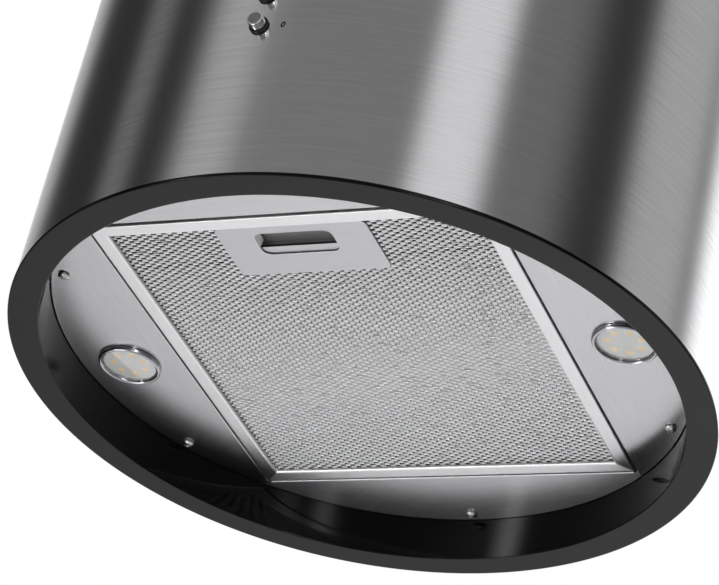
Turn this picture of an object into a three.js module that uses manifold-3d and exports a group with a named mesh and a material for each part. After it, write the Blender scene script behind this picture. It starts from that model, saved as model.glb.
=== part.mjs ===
// Island range hood: a round steel hood that hangs from the ceiling on a telescopic frame.
// Lengths are in millimetres. Heights are measured up from the hood's lower edge, and the
// finished group is lowered so that the ceiling lies at z = 0. The front faces -Y.
import * as THREE from "three";
import { mergeVertices } from "three/addons/utils/BufferGeometryUtils.js";
import Module from "manifold-3d";

// ---------- driving dimensions ----------

const GAP = 0.3;               // clearance between pieces that rest on or in each other
const HOOD_HEIGHT = 850;       // lower edge to ceiling, frame at mid travel
const TELESCOPE_TRAVEL = 100;  // how far the hood moves up or down from there
const ROUND_SEGMENTS = 48;     // facets of the large rings and shells
const COLLAR_SEGMENTS = 36;
const WHEEL_SEGMENTS = 32;
const LAMP_SEGMENTS = 24;
const BUTTON_SEGMENTS = 16;
const HOLE_SEGMENTS = 12;
const HEX_SEGMENTS = 6;

const OUTER_RADIUS = 195;
const RING_FACE_WIDTH = 17.1;
const RING_FLANGE = 2;
const RING_WALL = 2;
const RING_CHAMFER = 0.6;
const RING_COLLAR_HEIGHT = 12;
const RING_TAB_LENGTH = 13;
const RING_TAB_WIDTH = 26;
const RING_TAB_THICKNESS = 2;

const SHELL_INSET = 0.6;       // shell set back from the ring's outer edge
const SHELL_SHEET = 1;
const LOWER_SHELL_LENGTH = 518;
const SHELL_OVERLAP = 130;
const SHELL_SLIDE_GAP = 1.5;

const PANEL_HEIGHT = 26.3;
const PANEL_SHEET = 1;
const PANEL_EDGE_GAP = 1;
const PANEL_UPSTAND = 8;
const PANEL_UPSTAND_INSET = 8;
const SCREW_FROM_EDGE = 6.5;
const SCREW_COUNT = 6;
const SCREW_FIRST_ANGLE = 30;
const SCREW_SHANK_RADIUS = 1.7;
const SCREW_HEAD_RADIUS = 3.2;
const SCREW_CROWN_RADIUS = 1.9;
const SCREW_HEAD_HEIGHT = 2;
const SCREW_LENGTH = 8;

const APERTURE_WIDTH_SHARE = 1.3;   // of the panel's radius
const APERTURE_DEPTH_SHARE = 1.464;
const FILTER_HEIGHT = 9;
const FILTER_OFFSET = 2.2;     // filter, aperture and lamps sit this far behind the axis
const FILTER_SIDE_GAP = 1.5;
const FILTER_END_GAP = 2.5;
const FILTER_BORDER = 9;
const FILTER_WALL = 2;
const FILTER_LIP = 1.7;
const FILTER_TOP_LIP = 0.9;
const HOOK_SPACING = 160;
const HOOK_WIDTH = 12;
const HOOK_REACH = 4.5;
const HOOK_THICKNESS = 1.2;

const HANDLE_OFFSET = -1;
const HANDLE_WIDTH = 87;
const HANDLE_DEPTH = 42;
const HANDLE_SHEET = 1.2;
const HANDLE_CORNER = 4;
const SLOT_WIDTH = 42.5;
const SLOT_DEPTH = 14.3;
const SLOT_CORNER = 5;
const SLOT_FROM_FRONT = 7.9;
const LATCH_EDGE_IN_SLOT = 8.2;
const LATCH_SHEET = 1.5;
const LATCH_WINDOW_MARGIN = 0.9;
const TONGUE_WIDTH = 20;
const COVER_WIDTH = 65;
const COVER_SHEET = 1.2;
const COVER_DEPTH = 38.5;
const SPRING_COIL_RADIUS = 1.7;
const SPRING_WIRE_RADIUS = 0.35;
const SPRING_TURNS = 5;

const LAMP_FROM_EDGE = 29.4;
const LAMP_BEZEL_RADIUS = 18.2;
const LAMP_MOUTH_RADIUS = 14.9;
const LAMP_LENS_RADIUS = 15.4;
const LAMP_LENS_THICKNESS = 1.2;
const LAMP_COLLAR_WALL = 0.9;
const LAMP_BEZEL_DROP = 2.7;
const LAMP_COLLAR_HEIGHT = 7;
const LAMP_MODULE_HEIGHT = 9;

const BUTTON_NAMES = ["off", "speed_1", "speed_2", "speed_3", "light"];
const BUTTON_FIRST_HEIGHT = 96.4;
const BUTTON_SPACING = 20.4;
const BUTTON_RADIUS = 4.3;
const BUTTON_REACH = 6.5;
const BUTTON_STEM = 13;
const BUTTON_CHAMFER = 0.5;
const BEZEL_WALL = 0.5;
const BEZEL_FLANGE_RADIUS = 5.9;
const BEZEL_FLANGE = 1.3;
const BEZEL_CHAMFER = 0.4;
const BEZEL_SLEEVE = 4;
const SWITCH_HOUSING_WIDTH = 32;
const SWITCH_HOUSING_DEPTH = 28;
const SWITCH_HOUSING_MARGIN = 14;
const SWITCH_HOUSING_SETBACK = 2.5;
const SWITCH_BORE_DEPTH = 18;

const CARRIER_SHEET = 1.2;
const CARRIER_HEIGHT = 40;
const CARRIER_OPENING_RADIUS = 130;

const POST_FACE = 110;         // half the distance over the lower posts
const POST_LEG = 22;
const POST_SHEET = 1.5;
const LOWER_POST_LENGTH = 490;
const POST_OVERLAP = 140;
const POST_FOOT = 1.7;
const BOLT_BELOW_POST_TOP = 25;
const BOLT_INSET = 13;
const BOLT_RADIUS = 2.5;
const BOLT_HEAD_RADIUS = 4.6;
const BOLT_HEAD_HEIGHT = 3.4;
const BOLT_NUT_HEIGHT = 4;

const CEILING_PLATE_EDGE_GAP = 10.9;
const CEILING_PLATE_SHEET = 2.5;
const CEILING_DUCT_RADIUS = 82.5;
const CEILING_HOLE_RADIUS = 4;
const CEILING_HOLE_FROM_EDGE = 30;
const CEILING_TAB_WIDTH = 24;
const CEILING_TAB_DROP = 20;
const CEILING_TAB_SHEET = 1.5;
const CEILING_TAB_GAP = 1.1;
const THREE_WAY_ANGLES = [90, 210, 330];

const BLOWER_PLATE_HEIGHT = 380;
const BLOWER_PLATE_SHEET = 1.5;
const BLOWER_PLATE_FLANGE = 15;
const SCROLL_WIDTH = 121;
const SCROLL_SHEET = 1.5;
const SCROLL_DROP = 135;       // scroll's top rim to the motor axis
const SCROLL_LARGE_RADIUS = 120;
const SCROLL_SMALL_RADIUS = 80;
const SCROLL_SWEEP = 290;      // degrees from the outlet's outer wall to its tongue
const SCROLL_STEP = 10;
const INLET_RADIUS = 58;
const IMPELLER_RADIUS = 70;
const IMPELLER_WIDTH = 110;
const IMPELLER_RING = 2;
const BLADE_COUNT = 16;
const BLADE_DEPTH = 12;
const BLADE_SHEET = 1.2;
const BLADE_ANGLE = 30;
const HUB_RADIUS = 12;
const HUB_LENGTH = 18;
const SHAFT_RADIUS = 4;
const MOTOR_RADIUS = 44;
const MOTOR_NOSE_RADIUS = 31;
const MOTOR_NOSE_LENGTH = 12;
const MOTOR_FRONT = 9;
const BRACKET_SHEET = 2;
const BRACKET_ARM_WIDTH = 14;
const BRACKET_ARM_REACH = 78;
const BRACKET_RING_RADIUS = 40;
const BRACKET_HOLE_RADIUS = 14;

const COLLAR_RADIUS = 75;
const COLLAR_SHEET = 1.5;
const COLLAR_HEIGHT = 60;
const COLLAR_FLANGE_RADIUS = 88;
const COLLAR_LEDGE = 3.5;
const FLAP_HEIGHT = 13;        // flap pin above the collar's foot
const FLAP_SHEET = 1.2;
const FLAP_PIN_RADIUS = 2;
const FLAP_KNUCKLE_RADIUS = 4;
const FLAP_INNER_EDGE = 5;
const FLAP_EDGE_GAP = 1.2;
const FLAP_KNUCKLE_COUNT = 3;

const CONTROL_BOX_SIZE = 43;
const CONTROL_BOX_HEIGHT = 78;
const GLAND_RADIUS = 9;
const GLAND_BORE_RADIUS = 4;
const GLAND_HEIGHT = 12;
const CAPACITOR_RADIUS = 16;
const CAPACITOR_HEIGHT = 62;
const DRIVER_WIDTH = 90;
const DRIVER_DEPTH = 36;
const DRIVER_HEIGHT = 25;
const DRIVER_WALL_GAP = 8;

// ---------- derived sizes ----------

const ringInnerRadius = OUTER_RADIUS - RING_FACE_WIDTH;
const shellOuterRadius = OUTER_RADIUS - SHELL_INSET;
const shellInnerRadius = shellOuterRadius - SHELL_SHEET;
const insideShellRadius = shellInnerRadius - GAP;
const lowerShellBottom = RING_FLANGE + GAP;
const lowerShellTop = lowerShellBottom + LOWER_SHELL_LENGTH;
const upperShellOuterRadius = shellInnerRadius - SHELL_SLIDE_GAP;
const upperShellInnerRadius = upperShellOuterRadius - SHELL_SHEET;
const upperShellBottom = lowerShellTop - SHELL_OVERLAP;
const upperShellTop = HOOD_HEIGHT - GAP;

const panelTop = PANEL_HEIGHT + PANEL_SHEET;
const panelRadius = ringInnerRadius - PANEL_EDGE_GAP;
const apertureWidth = APERTURE_WIDTH_SHARE * panelRadius;
const apertureDepth = APERTURE_DEPTH_SHARE * panelRadius;
const screwCircleRadius = panelRadius - SCREW_FROM_EDGE;
const lampDistance = panelRadius - LAMP_FROM_EDGE;
const apertureFront = FILTER_OFFSET - apertureDepth / 2;
const apertureRear = FILTER_OFFSET + apertureDepth / 2;
const ringTabBottom = panelTop + GAP;
const ringWallTop = ringTabBottom + RING_TAB_THICKNESS;

const carrierBottom = ringWallTop + GAP;
const carrierTop = carrierBottom + CARRIER_HEIGHT;
const lowerPostBottom = carrierTop + GAP;
const lowerPostTop = lowerPostBottom + LOWER_POST_LENGTH;
const clampHeight = lowerPostTop - BOLT_BELOW_POST_TOP;
const ceilingPlateBottom = HOOD_HEIGHT - CEILING_PLATE_SHEET;
const ceilingPlateRadius = upperShellInnerRadius - CEILING_PLATE_EDGE_GAP;
const upperPostTop = ceilingPlateBottom - GAP;
const upperPostBottom = lowerPostTop - POST_OVERLAP;
const upperPostFace = POST_FACE + GAP + POST_SHEET;

const filterWidth = apertureWidth - 2 * FILTER_SIDE_GAP;
const filterFront = apertureFront + FILTER_END_GAP;
const filterRear = apertureRear - FILTER_END_GAP;
const filterTop = PANEL_HEIGHT + FILTER_HEIGHT;
const meshBottom = PANEL_HEIGHT + FILTER_LIP + GAP;
const meshTop = filterTop - FILTER_TOP_LIP - GAP;
const handleFront = filterFront + FILTER_BORDER + GAP;
const handleTop = PANEL_HEIGHT + FILTER_LIP;
const handleBottom = handleTop - HANDLE_SHEET;
const slotFront = handleFront + SLOT_FROM_FRONT;
const latchEdge = slotFront + LATCH_EDGE_IN_SLOT;
const latchBottom = handleTop + GAP;
const latchTop = latchBottom + LATCH_SHEET;
const coverFront = filterFront + FILTER_WALL + GAP;
const coverRear = coverFront + COVER_DEPTH;
const coverTop = meshTop;

const bezelBore = BUTTON_RADIUS + GAP;
const bezelSleeveRadius = bezelBore + BEZEL_WALL;
const bezelHoleRadius = bezelSleeveRadius + GAP;

const blowerPlateTop = BLOWER_PLATE_HEIGHT + BLOWER_PLATE_SHEET;
const scrollTop = BLOWER_PLATE_HEIGHT - GAP;
const motorHeight = scrollTop - SCROLL_DROP;
const tongueAngle = THREE.MathUtils.degToRad(-SCROLL_SWEEP);
const tongueSide = SCROLL_SMALL_RADIUS * Math.cos(tongueAngle);
const motorSetback = -(SCROLL_LARGE_RADIUS + tongueSide) / 2;
const scrollSide = SCROLL_WIDTH / 2;
const collarBottom = blowerPlateTop + GAP;
const collarInnerRadius = COLLAR_RADIUS - COLLAR_SHEET;
const flapHeight = collarBottom + FLAP_HEIGHT;

// ---------- materials ----------

const finish = (color, roughness, metalness) =>
  new THREE.MeshStandardMaterial({ color, roughness, metalness });

const brushedSteel = finish(0x8f9092, 0.35, 1);
const panelSteel = finish(0xb9babb, 0.4, 1);
const galvanised = finish(0xa9adb0, 0.5, 1);
const blackGloss = finish(0x2a2a2c, 0.25, 0);
const blackPlastic = finish(0x1b1b1c, 0.5, 0);
const filterAluminium = finish(0xc9cacc, 0.35, 1);
const chrome = finish(0xd8d9dc, 0.1, 1);
const clearLens = finish(0xe6ebea, 0.05, 0);
const lampBoard = finish(0xe9ead9, 0.6, 0);
const motorPaint = finish(0x55585c, 0.6, 0.4);
const whitePlastic = finish(0xdedfdd, 0.6, 0);
const zincSteel = finish(0x9c9fa3, 0.45, 1);

// ---------- making solids ----------

const wasm = await Module();
wasm.setup();

const hood = new THREE.Group();
hood.position.z = -HOOD_HEIGHT;

// A closed geometry as a solid that can be joined and cut.
function toSolid(geometry) {
  const bare = geometry.clone();
  bare.deleteAttribute("normal");
  bare.deleteAttribute("uv");
  const welded = mergeVertices(bare, 1e-4);
  const triangles = [];
  for (let i = 0; i < welded.index.count; i += 3) {
    const corners = [0, 1, 2].map((k) => welded.index.getX(i + k));
    if (new Set(corners).size === 3) {
      triangles.push(...corners);
    }
  }
  return new wasm.Manifold(new wasm.Mesh({
    numProp: 3,
    vertProperties: new Float32Array(welded.attributes.position.array),
    triVerts: new Uint32Array(triangles),
  }));
}

function toGeometry(body) {
  const mesh = body.getMesh();
  const geometry = new THREE.BufferGeometry();
  geometry.setAttribute("position", new THREE.BufferAttribute(mesh.vertProperties, 3));
  geometry.setIndex(new THREE.BufferAttribute(mesh.triVerts, 1));
  return geometry;
}

// Geometries joined into one, less the geometries cut from it.
function joined(parts, cuts = []) {
  let body = parts.map(toSolid).reduce((all, part) => all.add(part));
  for (const cut of cuts) {
    body = body.subtract(toSolid(cut));
  }
  return toGeometry(body);
}

function addPiece(name, geometry, material) {
  const mesh = new THREE.Mesh(geometry, material);
  mesh.name = name;
  hood.add(mesh);
  return mesh;
}

// A block between two corners, given as ranges along X, Y and Z.
function block([x0, x1], [y0, y1], [z0, z1]) {
  return new THREE.BoxGeometry(x1 - x0, y1 - y0, z1 - z0)
    .translate((x0 + x1) / 2, (y0 + y1) / 2, (z0 + z1) / 2);
}

// A profile of [radius, height] points turned round the Z axis. A ring's profile closes on itself.
function turned(profile, segments = ROUND_SEGMENTS) {
  const points = profile.map(([radius, height]) => new THREE.Vector2(radius, height));
  const solidCore = profile[0][0] === 0 && profile.at(-1)[0] === 0;
  if (!solidCore) {
    points.push(points[0]);
  }
  return new THREE.LatheGeometry(points, segments).rotateX(Math.PI / 2);
}

// A tube's wall between two radii and two heights.
function tubeProfile(inner, outer, bottom, top) {
  return [[inner, bottom], [outer, bottom], [outer, top], [inner, top]];
}

function cylinder(radius, bottom, top, segments) {
  return turned([[0, bottom], [radius, bottom], [radius, top], [0, top]], segments);
}

// Turns a piece made round Z so that its +Z end faces the front, -Y.
const facingFront = (geometry) => geometry.rotateX(Math.PI / 2);

// Turns a piece made round Z so that its +Z end faces the rear, +Y.
const facingRear = (geometry) => geometry.rotateX(-Math.PI / 2);

// Turns a piece made round Z so that its +Z end faces +X.
const facingRight = (geometry) => geometry.rotateY(Math.PI / 2);

function roundedRectangle([x0, x1], [y0, y1], corner, Outline = THREE.Shape) {
  const outline = new Outline();
  outline.moveTo(x0 + corner, y0);
  outline.lineTo(x1 - corner, y0);
  outline.absarc(x1 - corner, y0 + corner, corner, -Math.PI / 2, 0);
  outline.lineTo(x1, y1 - corner);
  outline.absarc(x1 - corner, y1 - corner, corner, 0, Math.PI / 2);
  outline.lineTo(x0 + corner, y1);
  outline.absarc(x0 + corner, y1 - corner, corner, Math.PI / 2, Math.PI);
  outline.lineTo(x0, y0 + corner);
  outline.absarc(x0 + corner, y0 + corner, corner, Math.PI, Math.PI * 1.5);
  return outline;
}

// A flat outline raised between two heights.
function raised(outline, bottom, top, curveSegments = 4) {
  return new THREE.ExtrudeGeometry(outline, { depth: top - bottom, bevelEnabled: false, curveSegments })
    .translate(0, 0, bottom);
}

const radians = THREE.MathUtils.degToRad;
const screwAngles = Array.from(
  { length: SCREW_COUNT },
  (_, i) => radians(SCREW_FIRST_ANGLE + (i * 360) / SCREW_COUNT),
);

// ---------- ceiling plate and hanging frame ----------

function makeCeilingPlate() {
  const tabOuter = upperShellInnerRadius - CEILING_TAB_GAP;
  const parts = [
    turned(tubeProfile(CEILING_DUCT_RADIUS, ceilingPlateRadius, ceilingPlateBottom, HOOD_HEIGHT)),
  ];
  const tabSide = [-CEILING_TAB_WIDTH / 2, CEILING_TAB_WIDTH / 2];
  for (const angle of THREE_WAY_ANGLES) {
    const arm = block([ceilingPlateRadius - CEILING_TAB_WIDTH, tabOuter], tabSide,
      [ceilingPlateBottom, HOOD_HEIGHT]);
    const tab = block([tabOuter - CEILING_TAB_SHEET, tabOuter], tabSide,
      [HOOD_HEIGHT - CEILING_TAB_DROP, HOOD_HEIGHT]);
    parts.push(arm.rotateZ(radians(angle)), tab.rotateZ(radians(angle)));
  }
  const fixingHoles = [0, 90, 180, 270].map((angle) =>
    cylinder(CEILING_HOLE_RADIUS, ceilingPlateBottom - 1, HOOD_HEIGHT + 1, HOLE_SEGMENTS)
      .translate(ceilingPlateRadius - CEILING_HOLE_FROM_EDGE, 0, 0)
      .rotateZ(radians(angle)));
  addPiece("ceiling_plate", joined(parts, fixingHoles), galvanised);
}

// An angle section with its outer corner at (face, face), raised between two heights.
function angleSection(face, bottom, top) {
  const inner = POST_FACE - POST_LEG;
  const wall = face - POST_SHEET;
  const section = new THREE.Shape([
    new THREE.Vector2(inner, wall),
    new THREE.Vector2(wall, wall),
    new THREE.Vector2(wall, inner),
    new THREE.Vector2(face, inner),
    new THREE.Vector2(face, face),
    new THREE.Vector2(inner, face),
  ]);
  return raised(section, bottom, top);
}

// The corners of the frame, as the mirrors that carry the (+X, +Y) corner there.
const frameCorners = [
  ["rear_right", 1, 1],
  ["rear_left", -1, 1],
  ["front_left", -1, -1],
  ["front_right", 1, -1],
];

// A geometry moved from the (+X, +Y) corner to another, mirrored as the corner asks.
function atCorner(geometry, sideX, sideY) {
  const placed = geometry.clone().scale(sideX, sideY, 1);
  if (sideX * sideY < 0) {
    const index = placed.index;
    for (let i = 0; i < index.count; i += 3) {
      const first = index.getX(i);
      index.setX(i, index.getX(i + 1));
      index.setX(i + 1, first);
    }
  }
  return placed;
}

function makeHangingFrame() {
  const boltAcross = POST_FACE - BOLT_INSET;
  const boltHole = BOLT_RADIUS + GAP;
  const slotHalf = TELESCOPE_TRAVEL + boltHole + GAP;
  const drill = facingRear(cylinder(boltHole, POST_FACE - POST_LEG, POST_FACE + 1, HOLE_SEGMENTS))
    .translate(boltAcross, 0, clampHeight);
  const lower = joined([angleSection(POST_FACE, lowerPostBottom, lowerPostTop)], [drill]);

  const slot = block([boltAcross - boltHole, boltAcross + boltHole], [POST_FACE, POST_FACE + POST_LEG],
    [clampHeight - slotHalf, clampHeight + slotHalf]);
  const footSide = [POST_FACE - POST_LEG, upperPostFace];
  const foot = block(footSide, footSide, [upperPostTop - POST_FOOT, upperPostTop]);
  const upper = joined([angleSection(upperPostFace, upperPostBottom, upperPostTop), foot], [slot]);

  const headFrom = upperPostFace + GAP;
  const nutFrom = POST_FACE - POST_SHEET - GAP;
  const nutTo = nutFrom - BOLT_NUT_HEIGHT;
  const headTo = headFrom + BOLT_HEAD_HEIGHT;
  const nut = cylinder(BOLT_HEAD_RADIUS, nutTo, nutFrom, HEX_SEGMENTS);
  const shank = cylinder(BOLT_RADIUS, nutTo - 1, headTo - BOLT_HEAD_HEIGHT / 2, HOLE_SEGMENTS);
  const head = cylinder(BOLT_HEAD_RADIUS, headFrom, headTo, HEX_SEGMENTS);
  const bolt = joined([nut, shank, head].map(facingRear)).translate(boltAcross, 0, clampHeight);

  for (const [corner, sideX, sideY] of frameCorners) {
    addPiece(`upper_post_${corner}`, atCorner(upper, sideX, sideY), zincSteel);
    addPiece(`lower_post_${corner}`, atCorner(lower, sideX, sideY), zincSteel);
    addPiece(`clamp_bolt_${corner}`, atCorner(bolt, sideX, sideY), chrome);
  }
}

// ---------- shells ----------

function makeShells() {
  const upper = tubeProfile(upperShellInnerRadius, upperShellOuterRadius, upperShellBottom, upperShellTop);
  addPiece("upper_shell", turned(upper), brushedSteel);

  const lower = tubeProfile(shellInnerRadius, shellOuterRadius, lowerShellBottom, lowerShellTop);
  const holes = buttonHeights.map((height) =>
    facingFront(cylinder(bezelHoleRadius, shellInnerRadius - 1, OUTER_RADIUS + 1, BUTTON_SEGMENTS))
      .translate(0, 0, height));
  addPiece("lower_shell", joined([turned(lower)], holes), brushedSteel);
}

// ---------- bottom ring, panel and carrier ----------

function makeBottomRing() {
  const collarOuter = insideShellRadius;
  const collarInner = collarOuter - RING_WALL;
  const wallOuter = ringInnerRadius + RING_WALL;
  const ring = turned([
    [ringInnerRadius + RING_CHAMFER, 0],
    [OUTER_RADIUS - RING_CHAMFER, 0],
    [OUTER_RADIUS, RING_CHAMFER],
    [OUTER_RADIUS, RING_FLANGE],
    [collarOuter, RING_FLANGE],
    [collarOuter, RING_FLANGE + RING_COLLAR_HEIGHT],
    [collarInner, RING_FLANGE + RING_COLLAR_HEIGHT],
    [collarInner, RING_FLANGE],
    [wallOuter, RING_FLANGE],
    [wallOuter, ringWallTop],
    [ringInnerRadius, ringWallTop],
    [ringInnerRadius, RING_CHAMFER],
  ]);
  const tabs = screwAngles.map((angle) =>
    block([ringInnerRadius - RING_TAB_LENGTH, ringInnerRadius + RING_WALL / 2],
      [-RING_TAB_WIDTH / 2, RING_TAB_WIDTH / 2], [ringTabBottom, ringWallTop]).rotateZ(angle));
  addPiece("bottom_ring", joined([ring, ...tabs], screwHoles(ringTabBottom, ringWallTop)), blackGloss);
}

function screwHoles(bottom, top) {
  return screwAngles.map((angle) =>
    cylinder(SCREW_SHANK_RADIUS + GAP, bottom - 1, top + 1, HOLE_SEGMENTS)
      .translate(screwCircleRadius, 0, 0)
      .rotateZ(angle));
}

function makeBottomPanel() {
  const halfWidth = apertureWidth / 2;
  const wall = PANEL_SHEET;
  const upTo = panelTop + PANEL_UPSTAND;
  const disc = cylinder(panelRadius, PANEL_HEIGHT, panelTop, ROUND_SEGMENTS);
  const aperture = block([-halfWidth, halfWidth], [apertureFront, apertureRear],
    [PANEL_HEIGHT - 1, upTo + 1]);
  const longSide = [apertureFront + PANEL_UPSTAND_INSET, apertureRear - PANEL_UPSTAND_INSET];
  const shortSide = [-halfWidth + PANEL_UPSTAND_INSET, halfWidth - PANEL_UPSTAND_INSET];
  const upright = [PANEL_HEIGHT, upTo];
  const upstands = [
    block([-halfWidth - wall, -halfWidth], longSide, upright),
    block([halfWidth, halfWidth + wall], longSide, upright),
    block(shortSide, [apertureFront - wall, apertureFront], upright),
    block(shortSide, [apertureRear, apertureRear + wall], upright),
  ];
  const hookNotches = [-1, 1].map((side) => {
    const centre = (side * HOOK_SPACING) / 2;
    const half = HOOK_WIDTH / 2 + 2 * GAP;
    return block([centre - half, centre + half], [apertureRear - 1, apertureRear + wall + 1],
      [panelTop, upTo + 1]);
  });
  const keeper = block(
    [HANDLE_OFFSET - TONGUE_WIDTH / 2 - 2 * GAP, HANDLE_OFFSET + TONGUE_WIDTH / 2 + 2 * GAP],
    [apertureFront - wall - 1, apertureFront + 1], [latchBottom - GAP, latchTop + GAP]);
  const lampHoles = [-1, 1].map((side) =>
    cylinder(lampHoleRadius, PANEL_HEIGHT - 1, panelTop + 1, LAMP_SEGMENTS)
      .translate(side * lampDistance, FILTER_OFFSET, 0));
  const cuts = [aperture, ...hookNotches, keeper, ...lampHoles, ...screwHoles(PANEL_HEIGHT, panelTop)];
  addPiece("bottom_panel", joined([disc, ...upstands], cuts), panelSteel);
}

function makePanelScrews() {
  const headTop = PANEL_HEIGHT - GAP;
  const headBottom = headTop - SCREW_HEAD_HEIGHT;
  const screw = turned([
    [0, headBottom],
    [SCREW_CROWN_RADIUS, headBottom],
    [SCREW_HEAD_RADIUS, headBottom + SCREW_HEAD_HEIGHT / 2],
    [SCREW_HEAD_RADIUS, headTop],
    [SCREW_SHANK_RADIUS, headTop],
    [SCREW_SHANK_RADIUS, headTop + SCREW_LENGTH],
    [0, headTop + SCREW_LENGTH],
  ], HOLE_SEGMENTS);
  screwAngles.forEach((angle, i) => {
    const placed = screw.clone().translate(screwCircleRadius, 0, 0).rotateZ(angle);
    addPiece(`panel_screw_${i + 1}`, placed, chrome);
  });
}

function makeCarrier() {
  const inner = ringInnerRadius - PANEL_EDGE_GAP;
  const outer = insideShellRadius;
  const carrier = turned([
    [inner, carrierBottom],
    [outer, carrierBottom],
    [outer, carrierTop],
    [CARRIER_OPENING_RADIUS, carrierTop],
    [CARRIER_OPENING_RADIUS, carrierTop - CARRIER_SHEET],
    [outer - CARRIER_SHEET, carrierTop - CARRIER_SHEET],
    [outer - CARRIER_SHEET, carrierBottom + CARRIER_SHEET],
    [inner, carrierBottom + CARRIER_SHEET],
  ]);
  addPiece("inner_carrier", carrier, galvanised);
}

// ---------- grease filter ----------

function makeFilterFrame() {
  const halfWidth = filterWidth / 2;
  const inset = (amount) => [
    [-halfWidth + amount, halfWidth - amount],
    [filterFront + amount, filterRear - amount],
  ];
  const outer = block(...inset(0), [PANEL_HEIGHT, filterTop]);
  const window = block(...inset(FILTER_BORDER), [PANEL_HEIGHT - 1, filterTop + 1]);
  const channel = block(...inset(FILTER_WALL), [PANEL_HEIGHT + FILTER_LIP, filterTop - FILTER_TOP_LIP]);
  const tonguePass = block(
    [HANDLE_OFFSET - TONGUE_WIDTH / 2 - GAP, HANDLE_OFFSET + TONGUE_WIDTH / 2 + GAP],
    [filterFront - 1, filterFront + FILTER_WALL + 1], [handleTop, latchTop + GAP]);
  const hookBottom = panelTop + GAP;
  const hooks = [-1, 1].map((side) => {
    const centre = (side * HOOK_SPACING) / 2;
    return block([centre - HOOK_WIDTH / 2, centre + HOOK_WIDTH / 2],
      [filterRear - FILTER_WALL, apertureRear + HOOK_REACH], [hookBottom, hookBottom + HOOK_THICKNESS]);
  });
  const frame = joined([outer], [window, channel, tonguePass]);
  addPiece("filter_frame", joined([frame, ...hooks]), filterAluminium);
}

function makeFilterMesh() {
  const reach = filterWidth / 2 - FILTER_WALL - GAP;
  const front = filterFront + FILTER_WALL + GAP;
  const rear = filterRear - FILTER_WALL - GAP;
  const left = HANDLE_OFFSET - COVER_WIDTH / 2 - GAP;
  const right = HANDLE_OFFSET + COVER_WIDTH / 2 + GAP;
  const notch = coverRear + GAP;
  const outline = new THREE.Shape([
    new THREE.Vector2(-reach, front),
    new THREE.Vector2(left, front),
    new THREE.Vector2(left, notch),
    new THREE.Vector2(right, notch),
    new THREE.Vector2(right, front),
    new THREE.Vector2(reach, front),
    new THREE.Vector2(reach, rear),
    new THREE.Vector2(-reach, rear),
  ]);
  addPiece("filter_mesh", raised(outline, meshBottom, meshTop), filterAluminium);
}

function makeFilterHandle() {
  const plateX = [HANDLE_OFFSET - HANDLE_WIDTH / 2, HANDLE_OFFSET + HANDLE_WIDTH / 2];
  const plate = roundedRectangle(plateX, [handleFront, handleFront + HANDLE_DEPTH], HANDLE_CORNER);
  const slotX = [HANDLE_OFFSET - SLOT_WIDTH / 2, HANDLE_OFFSET + SLOT_WIDTH / 2];
  plate.holes.push(roundedRectangle(slotX, [slotFront, slotFront + SLOT_DEPTH], SLOT_CORNER, THREE.Path));
  addPiece("filter_handle_plate", raised(plate, handleBottom, handleTop), filterAluminium);

  const coverX = [HANDLE_OFFSET - COVER_WIDTH / 2, HANDLE_OFFSET + COVER_WIDTH / 2];
  const insideX = [coverX[0] + COVER_SHEET, coverX[1] - COVER_SHEET];
  const tongueX = [HANDLE_OFFSET - TONGUE_WIDTH / 2 - GAP, HANDLE_OFFSET + TONGUE_WIDTH / 2 + GAP];
  const cover = joined([block(coverX, [coverFront, coverRear], [latchBottom, coverTop])], [
    block(insideX, [coverFront + COVER_SHEET, coverRear - COVER_SHEET],
      [latchBottom - 1, coverTop - COVER_SHEET]),
    block(tongueX, [coverFront - 1, coverFront + COVER_SHEET + 1], [latchBottom - 1, latchTop + GAP]),
  ]);
  addPiece("filter_handle_cover", cover, blackPlastic);
}

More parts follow.
